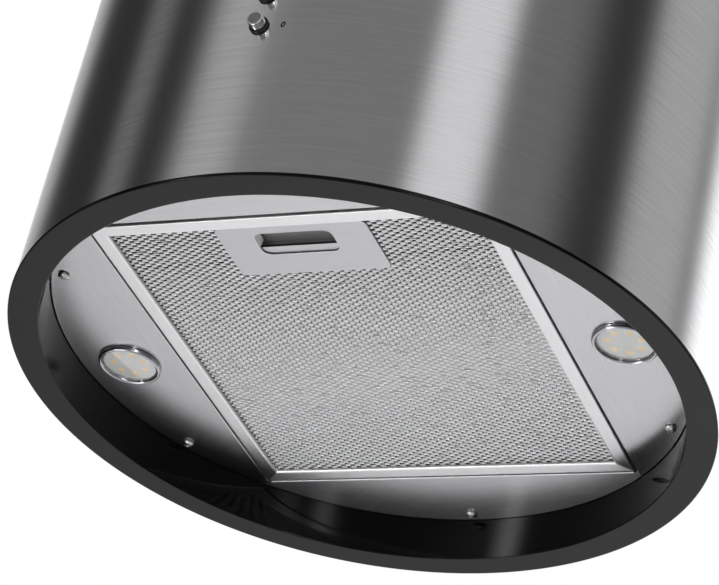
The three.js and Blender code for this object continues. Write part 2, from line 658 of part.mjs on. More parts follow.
function makeLatch() {
  const slideX = [
    HANDLE_OFFSET - COVER_WIDTH / 2 + COVER_SHEET + GAP,
    HANDLE_OFFSET + COVER_WIDTH / 2 - COVER_SHEET - GAP,
  ];
  const sheet = [latchBottom, latchTop];
  const windowFront = slotFront - LATCH_WINDOW_MARGIN;
  const slideFront = coverFront + COVER_SHEET + GAP;
  const slideRear = slotFront + SLOT_DEPTH + GAP;
  const wallFront = coverRear - COVER_SHEET;
  const lugTop = coverTop - COVER_SHEET - GAP;
  const slide = joined([
    block(slideX, [slideFront, slideRear], sheet),
    block([HANDLE_OFFSET - TONGUE_WIDTH / 2, HANDLE_OFFSET + TONGUE_WIDTH / 2],
      [apertureFront + GAP, slideFront + 1], sheet),
    block([HANDLE_OFFSET - 2 * SPRING_COIL_RADIUS, HANDLE_OFFSET + 2 * SPRING_COIL_RADIUS],
      [slideRear - COVER_SHEET, slideRear], [latchBottom, lugTop]),
  ], [
    block([HANDLE_OFFSET - SLOT_WIDTH / 2 - LATCH_WINDOW_MARGIN,
      HANDLE_OFFSET + SLOT_WIDTH / 2 + LATCH_WINDOW_MARGIN],
    [windowFront, latchEdge], [latchBottom - 1, latchTop + 1]),
  ]);
  addPiece("filter_latch", slide, filterAluminium);

  const springFrom = slideRear + GAP;
  const springLength = wallFront - GAP - springFrom - 2 * SPRING_WIRE_RADIUS;
  const springHeight = lugTop - SPRING_COIL_RADIUS - SPRING_WIRE_RADIUS;
  const steps = SPRING_TURNS * 8;
  const points = Array.from({ length: steps + 1 }, (_, i) => {
    const turn = (i / steps) * SPRING_TURNS * 2 * Math.PI;
    return new THREE.Vector3(
      HANDLE_OFFSET + SPRING_COIL_RADIUS * Math.cos(turn),
      springFrom + SPRING_WIRE_RADIUS + (i / steps) * springLength,
      springHeight + SPRING_COIL_RADIUS * Math.sin(turn),
    );
  });
  const wire = new THREE.Shape();
  wire.absarc(0, 0, SPRING_WIRE_RADIUS, 0, 2 * Math.PI);
  const spring = new THREE.ExtrudeGeometry(wire, {
    extrudePath: new THREE.CatmullRomCurve3(points),
    steps,
    curveSegments: 4,
    bevelEnabled: false,
  });
  addPiece("latch_spring", spring, chrome);
}

// ---------- lamps ----------

const lampBoreRadius = LAMP_LENS_RADIUS + GAP;
const lampCollarRadius = lampBoreRadius + LAMP_COLLAR_WALL;
const lampHoleRadius = lampCollarRadius + GAP;

function makeLamp(name, side) {
  const bottom = PANEL_HEIGHT - LAMP_BEZEL_DROP;
  const flangeTop = PANEL_HEIGHT - GAP;
  const lipTop = bottom + LAMP_LENS_THICKNESS;
  const bezel = turned([
    [LAMP_MOUTH_RADIUS, bottom + GAP],
    [(LAMP_MOUTH_RADIUS + LAMP_BEZEL_RADIUS) / 2, bottom],
    [LAMP_BEZEL_RADIUS, bottom + LAMP_LENS_THICKNESS],
    [LAMP_BEZEL_RADIUS, flangeTop],
    [lampCollarRadius, flangeTop],
    [lampCollarRadius, PANEL_HEIGHT + LAMP_COLLAR_HEIGHT],
    [lampBoreRadius, PANEL_HEIGHT + LAMP_COLLAR_HEIGHT],
    [lampBoreRadius, lipTop],
    [LAMP_MOUTH_RADIUS, lipTop],
  ], LAMP_SEGMENTS);
  const lensBottom = lipTop + GAP;
  const lensTop = lensBottom + LAMP_LENS_THICKNESS;
  const lens = cylinder(LAMP_LENS_RADIUS, lensBottom, lensTop, LAMP_SEGMENTS);
  const moduleBottom = lensTop + GAP;
  const moduleTop = moduleBottom + LAMP_MODULE_HEIGHT;
  const module = cylinder(LAMP_LENS_RADIUS, moduleBottom, moduleTop, LAMP_SEGMENTS);
  const place = (geometry) => geometry.translate(side * lampDistance, FILTER_OFFSET, 0);
  addPiece(`lamp_bezel_${name}`, place(bezel), chrome);
  addPiece(`lamp_lens_${name}`, place(lens), clearLens);
  addPiece(`lamp_module_${name}`, place(module), lampBoard);
}

// ---------- push buttons ----------

const buttonHeights = BUTTON_NAMES.map((_, i) => BUTTON_FIRST_HEIGHT + i * BUTTON_SPACING);

function makeButtons() {
  const button = facingFront(turned([
    [0, -BUTTON_STEM],
    [BUTTON_RADIUS, -BUTTON_STEM],
    [BUTTON_RADIUS, BUTTON_REACH - BUTTON_CHAMFER],
    [BUTTON_RADIUS - BUTTON_CHAMFER, BUTTON_REACH],
    [0, BUTTON_REACH],
  ], BUTTON_SEGMENTS)).translate(0, -shellOuterRadius, 0);
  const bezel = facingFront(turned([
    [bezelBore, -BEZEL_SLEEVE],
    [bezelSleeveRadius, -BEZEL_SLEEVE],
    [bezelSleeveRadius, GAP],
    [BEZEL_FLANGE_RADIUS, GAP],
    [BEZEL_FLANGE_RADIUS, GAP + BEZEL_FLANGE - BEZEL_CHAMFER],
    [BEZEL_FLANGE_RADIUS - BEZEL_CHAMFER, GAP + BEZEL_FLANGE],
    [bezelBore, GAP + BEZEL_FLANGE],
  ], BUTTON_SEGMENTS)).translate(0, -shellOuterRadius, 0);
  BUTTON_NAMES.forEach((name, i) => {
    addPiece(`button_${name}`, button.clone().translate(0, 0, buttonHeights[i]), chrome);
    addPiece(`button_bezel_${name}`, bezel.clone().translate(0, 0, buttonHeights[i]), blackPlastic);
  });

  const front = -shellOuterRadius + SWITCH_HOUSING_SETBACK;
  const body = block([-SWITCH_HOUSING_WIDTH / 2, SWITCH_HOUSING_WIDTH / 2],
    [front, front + SWITCH_HOUSING_DEPTH],
    [buttonHeights[0] - SWITCH_HOUSING_MARGIN, buttonHeights.at(-1) + SWITCH_HOUSING_MARGIN]);
  const bores = buttonHeights.map((height) =>
    facingFront(cylinder(bezelHoleRadius, -front - SWITCH_BORE_DEPTH, -front + 1, BUTTON_SEGMENTS))
      .translate(0, 0, height));
  addPiece("switch_housing", joined([body], bores), blackPlastic);
}

// ---------- blower ----------

// The scroll's outline in its own plane, front to rear and upward from the motor axis.
function scrollOutline(inset, top) {
  const points = [];
  for (let turn = 0; turn <= SCROLL_SWEEP; turn += SCROLL_STEP) {
    const share = turn / SCROLL_SWEEP;
    const radius = THREE.MathUtils.lerp(SCROLL_LARGE_RADIUS, SCROLL_SMALL_RADIUS, share) - inset;
    const angle = -radians(turn);
    points.push(new THREE.Vector2(radius * Math.cos(angle), radius * Math.sin(angle)));
  }
  points.at(-1).x = tongueSide + inset;
  points.push(new THREE.Vector2(tongueSide + inset, top));
  points.push(new THREE.Vector2(SCROLL_LARGE_RADIUS - inset, top));
  return new THREE.Shape(points);
}

// Stands an outline up across the hood, centred on the motor axis, with a width along X.
function acrossHood(outline, width) {
  const upright = new THREE.Matrix4().makeBasis(
    new THREE.Vector3(0, 1, 0), new THREE.Vector3(0, 0, 1), new THREE.Vector3(1, 0, 0));
  return raised(outline, -width / 2, width / 2)
    .applyMatrix4(upright)
    .translate(0, motorSetback, motorHeight);
}

const onMotorAxis = (geometry) => facingRight(geometry).translate(0, motorSetback, motorHeight);

function makeBlower() {
  const halfPlate = POST_FACE - POST_SHEET - GAP;
  const plateSide = [-halfPlate, halfPlate];
  const insidePlate = [-halfPlate + BLOWER_PLATE_SHEET, halfPlate - BLOWER_PLATE_SHEET];
  const flangeBottom = blowerPlateTop - BLOWER_PLATE_FLANGE;
  const plate = joined([block(plateSide, plateSide, [flangeBottom, blowerPlateTop])], [
    block(insidePlate, insidePlate, [flangeBottom - 1, BLOWER_PLATE_HEIGHT]),
    cylinder(collarInnerRadius, BLOWER_PLATE_HEIGHT - 1, blowerPlateTop + 1, COLLAR_SEGMENTS),
  ]);
  addPiece("blower_plate", plate, galvanised);

  const scroll = joined([acrossHood(scrollOutline(0, SCROLL_DROP), SCROLL_WIDTH)], [
    acrossHood(scrollOutline(SCROLL_SHEET, SCROLL_DROP + 1), SCROLL_WIDTH - 2 * SCROLL_SHEET),
    onMotorAxis(cylinder(INLET_RADIUS, -SCROLL_WIDTH, SCROLL_WIDTH, WHEEL_SEGMENTS)),
  ]);
  addPiece("blower_housing", scroll, galvanised);

  const halfWheel = IMPELLER_WIDTH / 2;
  const rings = [-halfWheel, halfWheel - IMPELLER_RING].map((from) =>
    turned(tubeProfile(IMPELLER_RADIUS - BLADE_DEPTH, IMPELLER_RADIUS, from, from + IMPELLER_RING),
      WHEEL_SEGMENTS));
  const disc = turned(tubeProfile(SHAFT_RADIUS + GAP, IMPELLER_RADIUS - BLADE_DEPTH / 2,
    -IMPELLER_RING / 2, IMPELLER_RING / 2), WHEEL_SEGMENTS);
  const hubRight = MOTOR_FRONT - 2 * IMPELLER_RING;
  const hubLeft = hubRight - HUB_LENGTH;
  const hub = turned(tubeProfile(SHAFT_RADIUS + GAP, HUB_RADIUS, hubLeft, hubRight), BUTTON_SEGMENTS);
  const blades = Array.from({ length: BLADE_COUNT }, (_, i) =>
    block([-BLADE_DEPTH / 2, BLADE_DEPTH / 2], [-BLADE_SHEET / 2, BLADE_SHEET / 2],
      [-halfWheel + IMPELLER_RING / 2, halfWheel - IMPELLER_RING / 2])
      .rotateZ(radians(BLADE_ANGLE))
      .translate(IMPELLER_RADIUS - BLADE_DEPTH / 2, 0, 0)
      .rotateZ(radians((i * 360) / BLADE_COUNT)));
  addPiece("impeller", onMotorAxis(joined([...rings, disc, hub, ...blades])), whitePlastic);

  const motorBore = SHAFT_RADIUS + GAP;
  const motor = turned([
    [motorBore, MOTOR_FRONT],
    [MOTOR_NOSE_RADIUS, MOTOR_FRONT],
    [MOTOR_RADIUS, MOTOR_FRONT + MOTOR_NOSE_LENGTH],
    [MOTOR_RADIUS, scrollSide - MOTOR_NOSE_LENGTH],
    [BRACKET_RING_RADIUS, scrollSide],
    [motorBore, scrollSide],
  ], LAMP_SEGMENTS);
  addPiece("motor_body", onMotorAxis(motor), motorPaint);

  const bracketFrom = scrollSide + GAP;
  const bracketTo = bracketFrom + BRACKET_SHEET;
  const shaft = cylinder(SHAFT_RADIUS, hubLeft - IMPELLER_RING, bracketTo + IMPELLER_RING, HOLE_SEGMENTS);
  addPiece("motor_shaft", onMotorAxis(shaft), chrome);

  const arms = THREE_WAY_ANGLES.map((angle) =>
    block([BRACKET_HOLE_RADIUS + 1, BRACKET_ARM_REACH], [-BRACKET_ARM_WIDTH / 2, BRACKET_ARM_WIDTH / 2],
      [bracketFrom, bracketTo]).rotateZ(radians(angle)));
  const bracketRing = turned(
    tubeProfile(BRACKET_HOLE_RADIUS, BRACKET_RING_RADIUS, bracketFrom, bracketTo), LAMP_SEGMENTS);
  addPiece("motor_bracket", onMotorAxis(joined([bracketRing, ...arms])), galvanised);
}

// ---------- outlet collar and non-return flaps ----------

function makeOutlet() {
  const ledgeTop = flapHeight - FLAP_SHEET / 2 - GAP;
  const ledgeBottom = ledgeTop - COLLAR_SHEET;
  const inner = collarInnerRadius;
  const pinReach = inner * Math.cos(Math.PI / COLLAR_SEGMENTS) - GAP;
  const pinSeat = facingRight(
    cylinder(FLAP_PIN_RADIUS + GAP, -pinReach - GAP, pinReach + GAP, HOLE_SEGMENTS),
  ).translate(0, 0, flapHeight);
  const collar = turned([
    [inner, collarBottom],
    [COLLAR_FLANGE_RADIUS, collarBottom],
    [COLLAR_FLANGE_RADIUS, collarBottom + COLLAR_SHEET],
    [COLLAR_RADIUS, collarBottom + COLLAR_SHEET],
    [COLLAR_RADIUS, collarBottom + COLLAR_HEIGHT],
    [inner, collarBottom + COLLAR_HEIGHT],
    [inner, ledgeTop],
    [inner - COLLAR_LEDGE, ledgeTop],
    [inner - COLLAR_LEDGE, ledgeBottom],
    [inner, ledgeBottom],
  ], COLLAR_SEGMENTS);
  addPiece("outlet_collar", joined([collar], [pinSeat]), blackPlastic);

  const pin = facingRight(cylinder(FLAP_PIN_RADIUS, -pinReach, pinReach, HOLE_SEGMENTS))
    .translate(0, 0, flapHeight);
  addPiece("flap_pin", pin, chrome);

  const flapRadius = inner - FLAP_EDGE_GAP;
  const knuckleReach = inner - COLLAR_LEDGE - 2 * GAP;
  const knuckle = knuckleReach / FLAP_KNUCKLE_COUNT;
  const halfSheet = FLAP_SHEET / 2;
  const knuckleStarts = { rear: [-knuckleReach, GAP], front: [-knuckle * 1.5 - GAP, knuckle * 1.5 + GAP] };
  for (const [name, side] of [["rear", 1], ["front", -1]]) {
    const disc = cylinder(flapRadius, -halfSheet, halfSheet, COLLAR_SEGMENTS);
    const otherHalf = block([-COLLAR_RADIUS, COLLAR_RADIUS],
      side > 0 ? [-COLLAR_RADIUS, FLAP_INNER_EDGE] : [-FLAP_INNER_EDGE, COLLAR_RADIUS],
      [-FLAP_SHEET, FLAP_SHEET]);
    const halfDisc = joined([disc], [otherHalf]);
    const webSide = side > 0
      ? [FLAP_PIN_RADIUS, FLAP_INNER_EDGE + 1]
      : [-FLAP_INNER_EDGE - 1, -FLAP_PIN_RADIUS];
    const knuckleSpans = knuckleStarts[name].map((from) => [from, from + knuckle - GAP]);
    const tubes = knuckleSpans.map(([from, to]) =>
      facingRight(cylinder(FLAP_KNUCKLE_RADIUS, from, to, HOLE_SEGMENTS)));
    const webs = knuckleSpans.map((span) =>
      block(span, webSide, [-halfSheet, halfSheet]));
    const bore = facingRight(
      cylinder(FLAP_PIN_RADIUS + GAP, -COLLAR_RADIUS, COLLAR_RADIUS, HOLE_SEGMENTS));
    const flap = joined([halfDisc, ...tubes, ...webs], [bore]).translate(0, 0, flapHeight);
    addPiece(`damper_flap_${name}`, flap, blackPlastic);
  }
}

// ---------- electrics ----------

function makeElectrics() {
  const floor = blowerPlateTop + GAP;
  const near = POST_FACE - POST_SHEET - BOLT_RADIUS - CONTROL_BOX_SIZE;
  const side = [near, near + CONTROL_BOX_SIZE];
  const boxTop = floor + CONTROL_BOX_HEIGHT;
  const middle = near + CONTROL_BOX_SIZE / 2;
  const glandTop = boxTop + GLAND_HEIGHT;
  const gland = cylinder(GLAND_RADIUS, boxTop - 1, glandTop, BUTTON_SEGMENTS)
    .translate(middle, middle, 0);
  const glandBore = cylinder(GLAND_BORE_RADIUS, boxTop, glandTop + 1, HOLE_SEGMENTS)
    .translate(middle, middle, 0);
  const controlBox = joined([block(side, side, [floor, boxTop]), gland], [glandBore]);
  addPiece("control_box", controlBox, whitePlastic);

  const capacitor = cylinder(CAPACITOR_RADIUS, floor, floor + CAPACITOR_HEIGHT, LAMP_SEGMENTS)
    .translate(-middle, middle, 0);
  addPiece("motor_capacitor", capacitor, whitePlastic);

  const seat = carrierTop + GAP;
  const halfDriver = DRIVER_WIDTH / 2;
  const driverRear = Math.sqrt((insideShellRadius - DRIVER_WALL_GAP) ** 2 - halfDriver ** 2);
  const driver = block([-halfDriver, halfDriver],
    [driverRear - DRIVER_DEPTH, driverRear], [seat, seat + DRIVER_HEIGHT]);
  addPiece("lamp_driver", driver, whitePlastic);
}

// ---------- assembly, from the ceiling down ----------

makeCeilingPlate();
makeHangingFrame();
makeShells();
makeCarrier();
makeBlower();
makeOutlet();
makeElectrics();
makeButtons();
makeBottomRing();
makeBottomPanel();
makePanelScrews();
makeLamp("left", -1);
makeLamp("right", 1);
makeFilterFrame();
makeFilterMesh();
makeFilterHandle();
makeLatch();

export default hood;
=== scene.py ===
import math

import bmesh
import bpy
import numpy as np
from mathutils import Matrix, Vector
from mathutils.geometry import delaunay_2d_cdt


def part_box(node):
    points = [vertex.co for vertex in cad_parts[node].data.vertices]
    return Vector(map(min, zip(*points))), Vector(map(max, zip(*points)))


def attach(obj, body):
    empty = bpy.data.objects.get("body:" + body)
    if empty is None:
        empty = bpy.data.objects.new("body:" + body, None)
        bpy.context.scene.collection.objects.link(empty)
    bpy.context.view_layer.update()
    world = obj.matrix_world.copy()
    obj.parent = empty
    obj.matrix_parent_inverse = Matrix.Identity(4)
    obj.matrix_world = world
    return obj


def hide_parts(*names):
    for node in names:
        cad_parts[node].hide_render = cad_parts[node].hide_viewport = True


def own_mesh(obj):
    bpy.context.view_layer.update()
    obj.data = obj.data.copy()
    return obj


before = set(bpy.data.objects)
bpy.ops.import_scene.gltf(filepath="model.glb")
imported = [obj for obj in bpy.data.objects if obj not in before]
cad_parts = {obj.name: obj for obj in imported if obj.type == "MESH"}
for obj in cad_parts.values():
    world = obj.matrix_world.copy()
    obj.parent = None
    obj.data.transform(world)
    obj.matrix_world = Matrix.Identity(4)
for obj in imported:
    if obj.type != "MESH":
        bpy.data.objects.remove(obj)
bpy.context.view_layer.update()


# ---------- lower tube ----------
# The hood's body is a tube rolled from 1 mm stainless sheet, welded down its back and brushed
# round. It stands on the bottom ring, and five push buttons pass through holes in its front.

LOWER_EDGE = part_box("bottom_ring")[0].z
MM = 0.001
MERGED_WITHIN = 2e-6
TUBE_SHEET = 1.0
TUBE_COLUMNS = 144
BUTTON_HOLE_RADIUS = 5.2
HOLE_CELLS = 8
HOLE_RINGS = 4
BUMP_HEIGHT = 0.0001
SMUDGE_DULLS = 0.02
BUTTON_NAMES = ["off", "speed_1", "speed_2", "speed_3", "light"]


def box_mm(node):
    """A CAD node's lowest and highest corners, in millimetres, heights from the lower edge."""
    low, high = (np.array(corner) * 1000 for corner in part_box(node))
    return low - [0, 0, LOWER_EDGE * 1000], high - [0, 0, LOWER_EDGE * 1000]


def grid_faces(rows, columns, close_rows=False, close_columns=False):
    """Four-cornered faces over points kept row after row. A closed side meets its own start."""
    row, column = np.meshgrid(
        np.arange(rows if close_rows else rows - 1),
        np.arange(columns if close_columns else columns - 1), indexing="ij")
    row_after, column_after = (row + 1) % rows, (column + 1) % columns
    corners = [row * columns + column, row_after * columns + column,
               row_after * columns + column_after, row * columns + column_after]
    return np.stack(corners, -1).reshape(-1, 4)


def stacked(parts):
    """Several (points, faces) sheets as one, the later faces counting on from earlier points."""
    starts = np.cumsum([0] + [len(points) for points, _ in parts])
    faces = [sheet_faces + start for (_, sheet_faces), start in zip(parts, starts)]
    return np.concatenate([points for points, _ in parts]), np.concatenate(faces)


def given_thickness(near, far, face_sets):
    """A sheet's two sides, joined by a wall along each edge that belongs to one face only.
    Points of the near side that coincide to 0.002 mm are made one first."""
    _, first, merged = np.unique(
        np.round(near * 500).astype(np.int64), axis=0, return_index=True, return_inverse=True)
    near, far, count = near[first], far[first], len(first)
    face_sets = [merged.reshape(-1)[faces] for faces in face_sets]
    starts = np.concatenate([faces.ravel() for faces in face_sets])
    ends = np.concatenate([np.roll(faces, -1, axis=1).ravel() for faces in face_sets])
    rim = ~np.isin(starts * count + ends, ends * count + starts)
    walls = np.stack([ends[rim], starts[rim], starts[rim] + count, ends[rim] + count], -1)
    far_faces = [faces[:, ::-1] + count for faces in face_sets]
    return np.concatenate([near, far]), [*face_sets, *far_faces, walls]


def facing_out(points, face_sets):
    """The same closed surface, turned over if its signed volume comes out below nothing."""
    volume = 0.0
    for faces in face_sets:
        corner = points[faces]
        for k in range(1, faces.shape[1] - 1):
            volume += (corner[:, 0] * np.cross(corner[:, k], corner[:, k + 1])).sum()
    return face_sets if volume > 0 else [faces[:, ::-1] for faces in face_sets]


def make_mesh(name, solids, sharp=35):
    """One mesh in metres from closed solids in millimetres, smooth except over sharp edges."""
    points = np.concatenate([solid_points for solid_points, _ in solids])
    starts = np.cumsum([0] + [len(solid_points) for solid_points, _ in solids])
    face_sets = [faces + start for (solid_points, sets), start in zip(solids, starts)
                 for faces in facing_out(solid_points, sets)]
    sizes = np.concatenate([np.full(len(faces), faces.shape[1]) for faces in face_sets])
    corners = np.concatenate([faces.ravel() for faces in face_sets])
    mesh = bpy.data.meshes.new(name)
    mesh.vertices.add(len(points))
    mesh.loops.add(len(corners))
    mesh.polygons.add(len(sizes))
    placed = points * MM + np.array([0, 0, LOWER_EDGE])
    mesh.vertices.foreach_set("co", placed.astype(np.float32).ravel())
    mesh.loops.foreach_set("vertex_index", corners.astype(np.int32))
    mesh.polygons.foreach_set("loop_start", (np.cumsum(sizes) - sizes).astype(np.int32))
    mesh.update(calc_edges=True)
    joined = bmesh.new()
    joined.from_mesh(mesh)
    bmesh.ops.remove_doubles(joined, verts=joined.verts, dist=MERGED_WITHIN)
    joined.to_mesh(mesh)
    joined.free()
    mesh.shade_smooth()
    mesh.set_sharp_from_angle(angle=math.radians(sharp))
    return mesh


def put_object(name, data):
    """An object in the scene that holds a mesh, a light or a camera."""
    made = bpy.data.objects.new(name, data)
    bpy.context.collection.objects.link(made)
    return made


def fit_piece(name, solids, body, material, stands_for=()):
    """Makes a piece that rides on a body, takes a slot's finish and stands for CAD nodes."""
    mesh = make_mesh(name, solids)
    mesh.materials.append(material)
    piece = put_object(name, mesh)
    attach(piece, body)
    if stands_for:
        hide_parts(*stands_for)
    return piece


def grey(level, blue=None):
    """A grey, or nearly one where the level of its blue is given."""
    return (level, level, level if blue is None else blue, 1)


def feed(tree, sockets, inputs):
    """Gives each input its value, or another node's output."""
    for key, value in inputs.items():
        if isinstance(value, bpy.types.NodeSocket):
            tree.links.new(value, sockets[key])
        else:
            sockets[key].default_value = value


def add_node(tree, kind, inputs=None, **settings):
    """A shader node with its settings and its inputs."""
    made = tree.nodes.new(kind)
    for key, value in settings.items():
        setattr(made, key, value)
    feed(tree, made.inputs, inputs or {})
    return made


def start_group(name, inputs, outputs):
    """An empty node group with its named sockets, and the nodes that stand for them inside."""
    tree = bpy.data.node_groups.new(name, "ShaderNodeTree")
    for socket, (kind, value) in inputs.items():
        tree.interface.new_socket(socket, in_out="INPUT", socket_type=kind).default_value = value
    for socket in outputs:
        tree.interface.new_socket(socket, in_out="OUTPUT", socket_type="NodeSocketFloat")
    return tree, tree.nodes.new("NodeGroupInput").outputs, tree.nodes.new("NodeGroupOutput").inputs


def place_group(tree, group, **inputs):
    """A node group placed in a material with its own values. Gives its outputs."""
    return add_node(tree, "ShaderNodeGroup", inputs, node_tree=group).outputs


def calculate(tree, operation, *values):
    """One step of arithmetic on outputs and numbers."""
    inputs = dict(enumerate(values))
    return add_node(tree, "ShaderNodeMath", inputs, operation=operation).outputs[0]


def mean(tree, first, second):
    """The mean of two outputs."""
    return calculate(tree, "MULTIPLY_ADD", first, 0.5, calculate(tree, "MULTIPLY", second, 0.5))


def carried(tree, value, from_low, from_high, low, high):
    """A value carried in proportion from one range to another, and kept inside it."""
    return add_node(tree, "ShaderNodeMapRange", {
        "Value": value, "From Min": from_low, "From Max": from_high,
        "To Min": low, "To Max": high}).outputs["Result"]


def blended(tree, factor, first, second):
    """Two colours mixed by a factor."""
    made = add_node(tree, "ShaderNodeMix", {0: factor, 6: first, 7: second}, data_type="RGBA")
    return made.outputs[2]


def noise(tree, place, scale, detail, rough):
    """Noise at a place."""
    return add_node(tree, "ShaderNodeTexNoise", {
        "Vector": place, "Scale": scale, "Detail": detail, "Roughness": rough}).outputs["Fac"]


def raised(tree, height, strength):
    """A normal turned as the surface would be if a height stood up from it."""
    return add_node(tree, "ShaderNodeBump", {
        "Height": height, "Strength": strength, "Distance": BUMP_HEIGHT}).outputs[0]


def object_place(tree):
    """Object coordinates."""
    return add_node(tree, "ShaderNodeTexCoord").outputs["Object"]


def make_brushing():
    """Brushing: noise drawn out along the grain and packed tight across it. Stretch holds how
    often it changes in a metre along each axis of Place."""
    tree, given, result = start_group(
        "brushing", {"Place": ("NodeSocketVector", (0.0, 0.0, 0.0)),
                     "Stretch": ("NodeSocketVector", (20.0, 20.0, 1000.0))}, ["Streaks", "Height"])
    drawn = add_node(tree, "ShaderNodeVectorMath", {0: given["Place"], 1: given["Stretch"]},
                     operation="MULTIPLY").outputs[0]
    broad, fine = noise(tree, drawn, 1.0, 2.0, 0.55), noise(tree, drawn, 3.1, 3.0, 0.7)
    streaks = carried(tree, mean(tree, broad, fine), 0.3, 0.7, 0.0, 1.0)
    feed(tree, result, {"Streaks": streaks, "Height": fine})
    return tree


def make_smudges():
    """Smudges: slow cloudy patches, as wiped metal and handled plastic show."""
    tree, given, result = start_group(
        "smudges", {"Scale": ("NodeSocketFloat", 12.0)}, ["Mask"])
    cloud = add_node(tree, "ShaderNodeTexNoise", {
        "Vector": object_place(tree), "Scale": given["Scale"], "Detail": 4.0, "Roughness": 0.6,
        "Distortion": 0.6}).outputs["Fac"]
    tree.links.new(carried(tree, cloud, 0.35, 0.65, 0.0, 1.0), result["Mask"])
    return tree


BRUSHING = make_brushing()
SMUDGES = make_smudges()


def start_material(name):
    """A material, its node tree and the inputs of its shader."""
    material = bpy.data.materials.new(name)
    material.use_nodes = True
    return material, material.node_tree, material.node_tree.nodes["Principled BSDF"].inputs


def brushed_metal(name, dark, light, stretch, rough, bump=0.1, anisotropic=0.0, uv_map=None):
    """Brushed metal: the grain shades its colour and roughness and stands up a little, and
    smudges dull it in patches. Anisotropy spreads its gloss across the grain."""
    material, tree, shader = start_material(name)
    place = object_place(tree)
    if uv_map:
        place = add_node(tree, "ShaderNodeUVMap", uv_map=uv_map).outputs[0]
    grain = place_group(tree, BRUSHING, Place=place, Stretch=stretch)
    smudge = place_group(tree, SMUDGES, Scale=9.0)["Mask"]
    streaked = carried(tree, grain["Streaks"], 0.0, 1.0, rough[1], rough[0])
    feed(tree, shader, {
        "Base Color": blended(tree, grain["Streaks"], dark, light),
        "Roughness": calculate(tree, "MULTIPLY_ADD", smudge, SMUDGE_DULLS, streaked),
        "Normal": raised(tree, grain["Height"], bump), "Metallic": 1.0})
    if anisotropic:
        tangent = add_node(tree, "ShaderNodeTangent",
                           direction_type="UV_MAP" if uv_map else "RADIAL", axis="Z")
        if uv_map:
            tangent.uv_map = uv_map
        feed(tree, shader, {
            "Anisotropic": anisotropic, "Anisotropic Rotation": 0.0 if uv_map else 0.25,
            "Tangent": tangent.outputs[0]})
    return material


def holed_tube(low, high, radius, sheet, hole_heights):
    """A tube over arc lengths s and heights h: x = r sin(s / R), y = -r cos(s / R), z = h.
    Round each hole a square of that grid becomes rings that pass from square to circle."""
    step = 2 * math.pi * radius / TUBE_COLUMNS
    arcs = np.arange(TUBE_COLUMNS + 1) * step - math.pi * radius
    middle, count = TUBE_COLUMNS // 2, HOLE_CELLS + 1
    arcs = np.concatenate([arcs[:middle - 1], np.linspace(-step, step, count), arcs[middle + 2:]])
    bands = [np.linspace(height - step, height + step, count) for height in hole_heights]
    ends = [low] + [end for band in bands for end in (band[0], band[-1])] + [high]
    plain = [np.linspace(ends[i], ends[i + 1], count)[1:-1] for i in (0, len(ends) - 2)]
    heights = np.sort(np.concatenate([[low, high], *bands, *plain]))
    flat = np.stack(np.meshgrid(arcs, heights, indexing="ij"), -1).reshape(-1, 2)
    faces = grid_faces(len(arcs), len(heights))
    centre = flat[faces].mean(axis=1)
    in_square = (np.abs(centre[:, 0]) < step) & (
        np.abs(centre[:, 1, None] - np.array(hole_heights)) < step).any(axis=1)
    side, one = np.linspace(-1, 1, count)[:-1], np.ones(HOLE_CELLS)
    square = step * np.concatenate([
        np.stack([side, -one], -1), np.stack([one, side], -1),
        np.stack([-side, one], -1), np.stack([-one, -side], -1)])
    circle = BUTTON_HOLE_RADIUS * square / np.linalg.norm(square, axis=1, keepdims=True)
    share = np.linspace(0, 1, HOLE_RINGS)[:, None, None]
    rings = ((1 - share) * square + share * circle).reshape(-1, 2)
    ring_faces = grid_faces(HOLE_RINGS, len(square), close_columns=True)[:, ::-1]
    flat, faces = stacked([(flat, faces[~in_square])] + [
        (rings + [0, height], ring_faces) for height in hole_heights])
    angle, height = flat[:, 0] / radius, flat[:, 1]
    near, far = (np.stack([r * np.sin(angle), -r * np.cos(angle), height], -1)
                 for r in (radius, radius - sheet))
    return given_thickness(near, far, [faces])


tube_low, tube_high = box_mm("lower_shell")
tube_radius = tube_high[0]
button_heights = [sum(box_mm("button_" + name))[2] / 2 for name in BUTTON_NAMES]
tube_steel = brushed_metal("tube_brushed_steel", grey(0.50, 0.505), grey(0.60, 0.605),
                           (18.0, 18.0, 900.0), (0.10, 0.16), anisotropic=0.94)
fit_piece("lower_tube", [holed_tube(
    tube_low[2], tube_high[2], tube_radius, TUBE_SHEET, button_heights)],
    "hood", tube_steel, ["lower_shell"])


# ---------- upper tube ----------
# A second tube, a little narrower, that slides inside the first as the hood's height is set.
# It is screwed to three tabs of the ceiling plate, and has the same round brushing.

TUBE_SEGMENTS = 160


def even_turn(count):
    """Angles spaced evenly round a full turn."""
    return np.arange(count) * 2 * math.pi / count


def turned(outline, segments, centre=(0.0, 0.0)):
    """A closed outline of (radius r, height) carried round Z: x = r cos a, y = r sin a."""
    angle = even_turn(segments)[:, None]
    radius, height = np.asarray(outline, float).T
    points = np.stack([
        centre[0] + np.cos(angle) * radius, centre[1] + np.sin(angle) * radius,
        np.broadcast_to(height, (segments, len(height)))], -1).reshape(-1, 3)
    return points, [grid_faces(segments, len(radius), close_rows=True, close_columns=True)]


def rectangle(low, high):
    """The corners of a rectangle, from its lowest round to the one above it."""
    return [(low[0], low[1]), (high[0], low[1]), (high[0], high[1]), (low[0], high[1])]


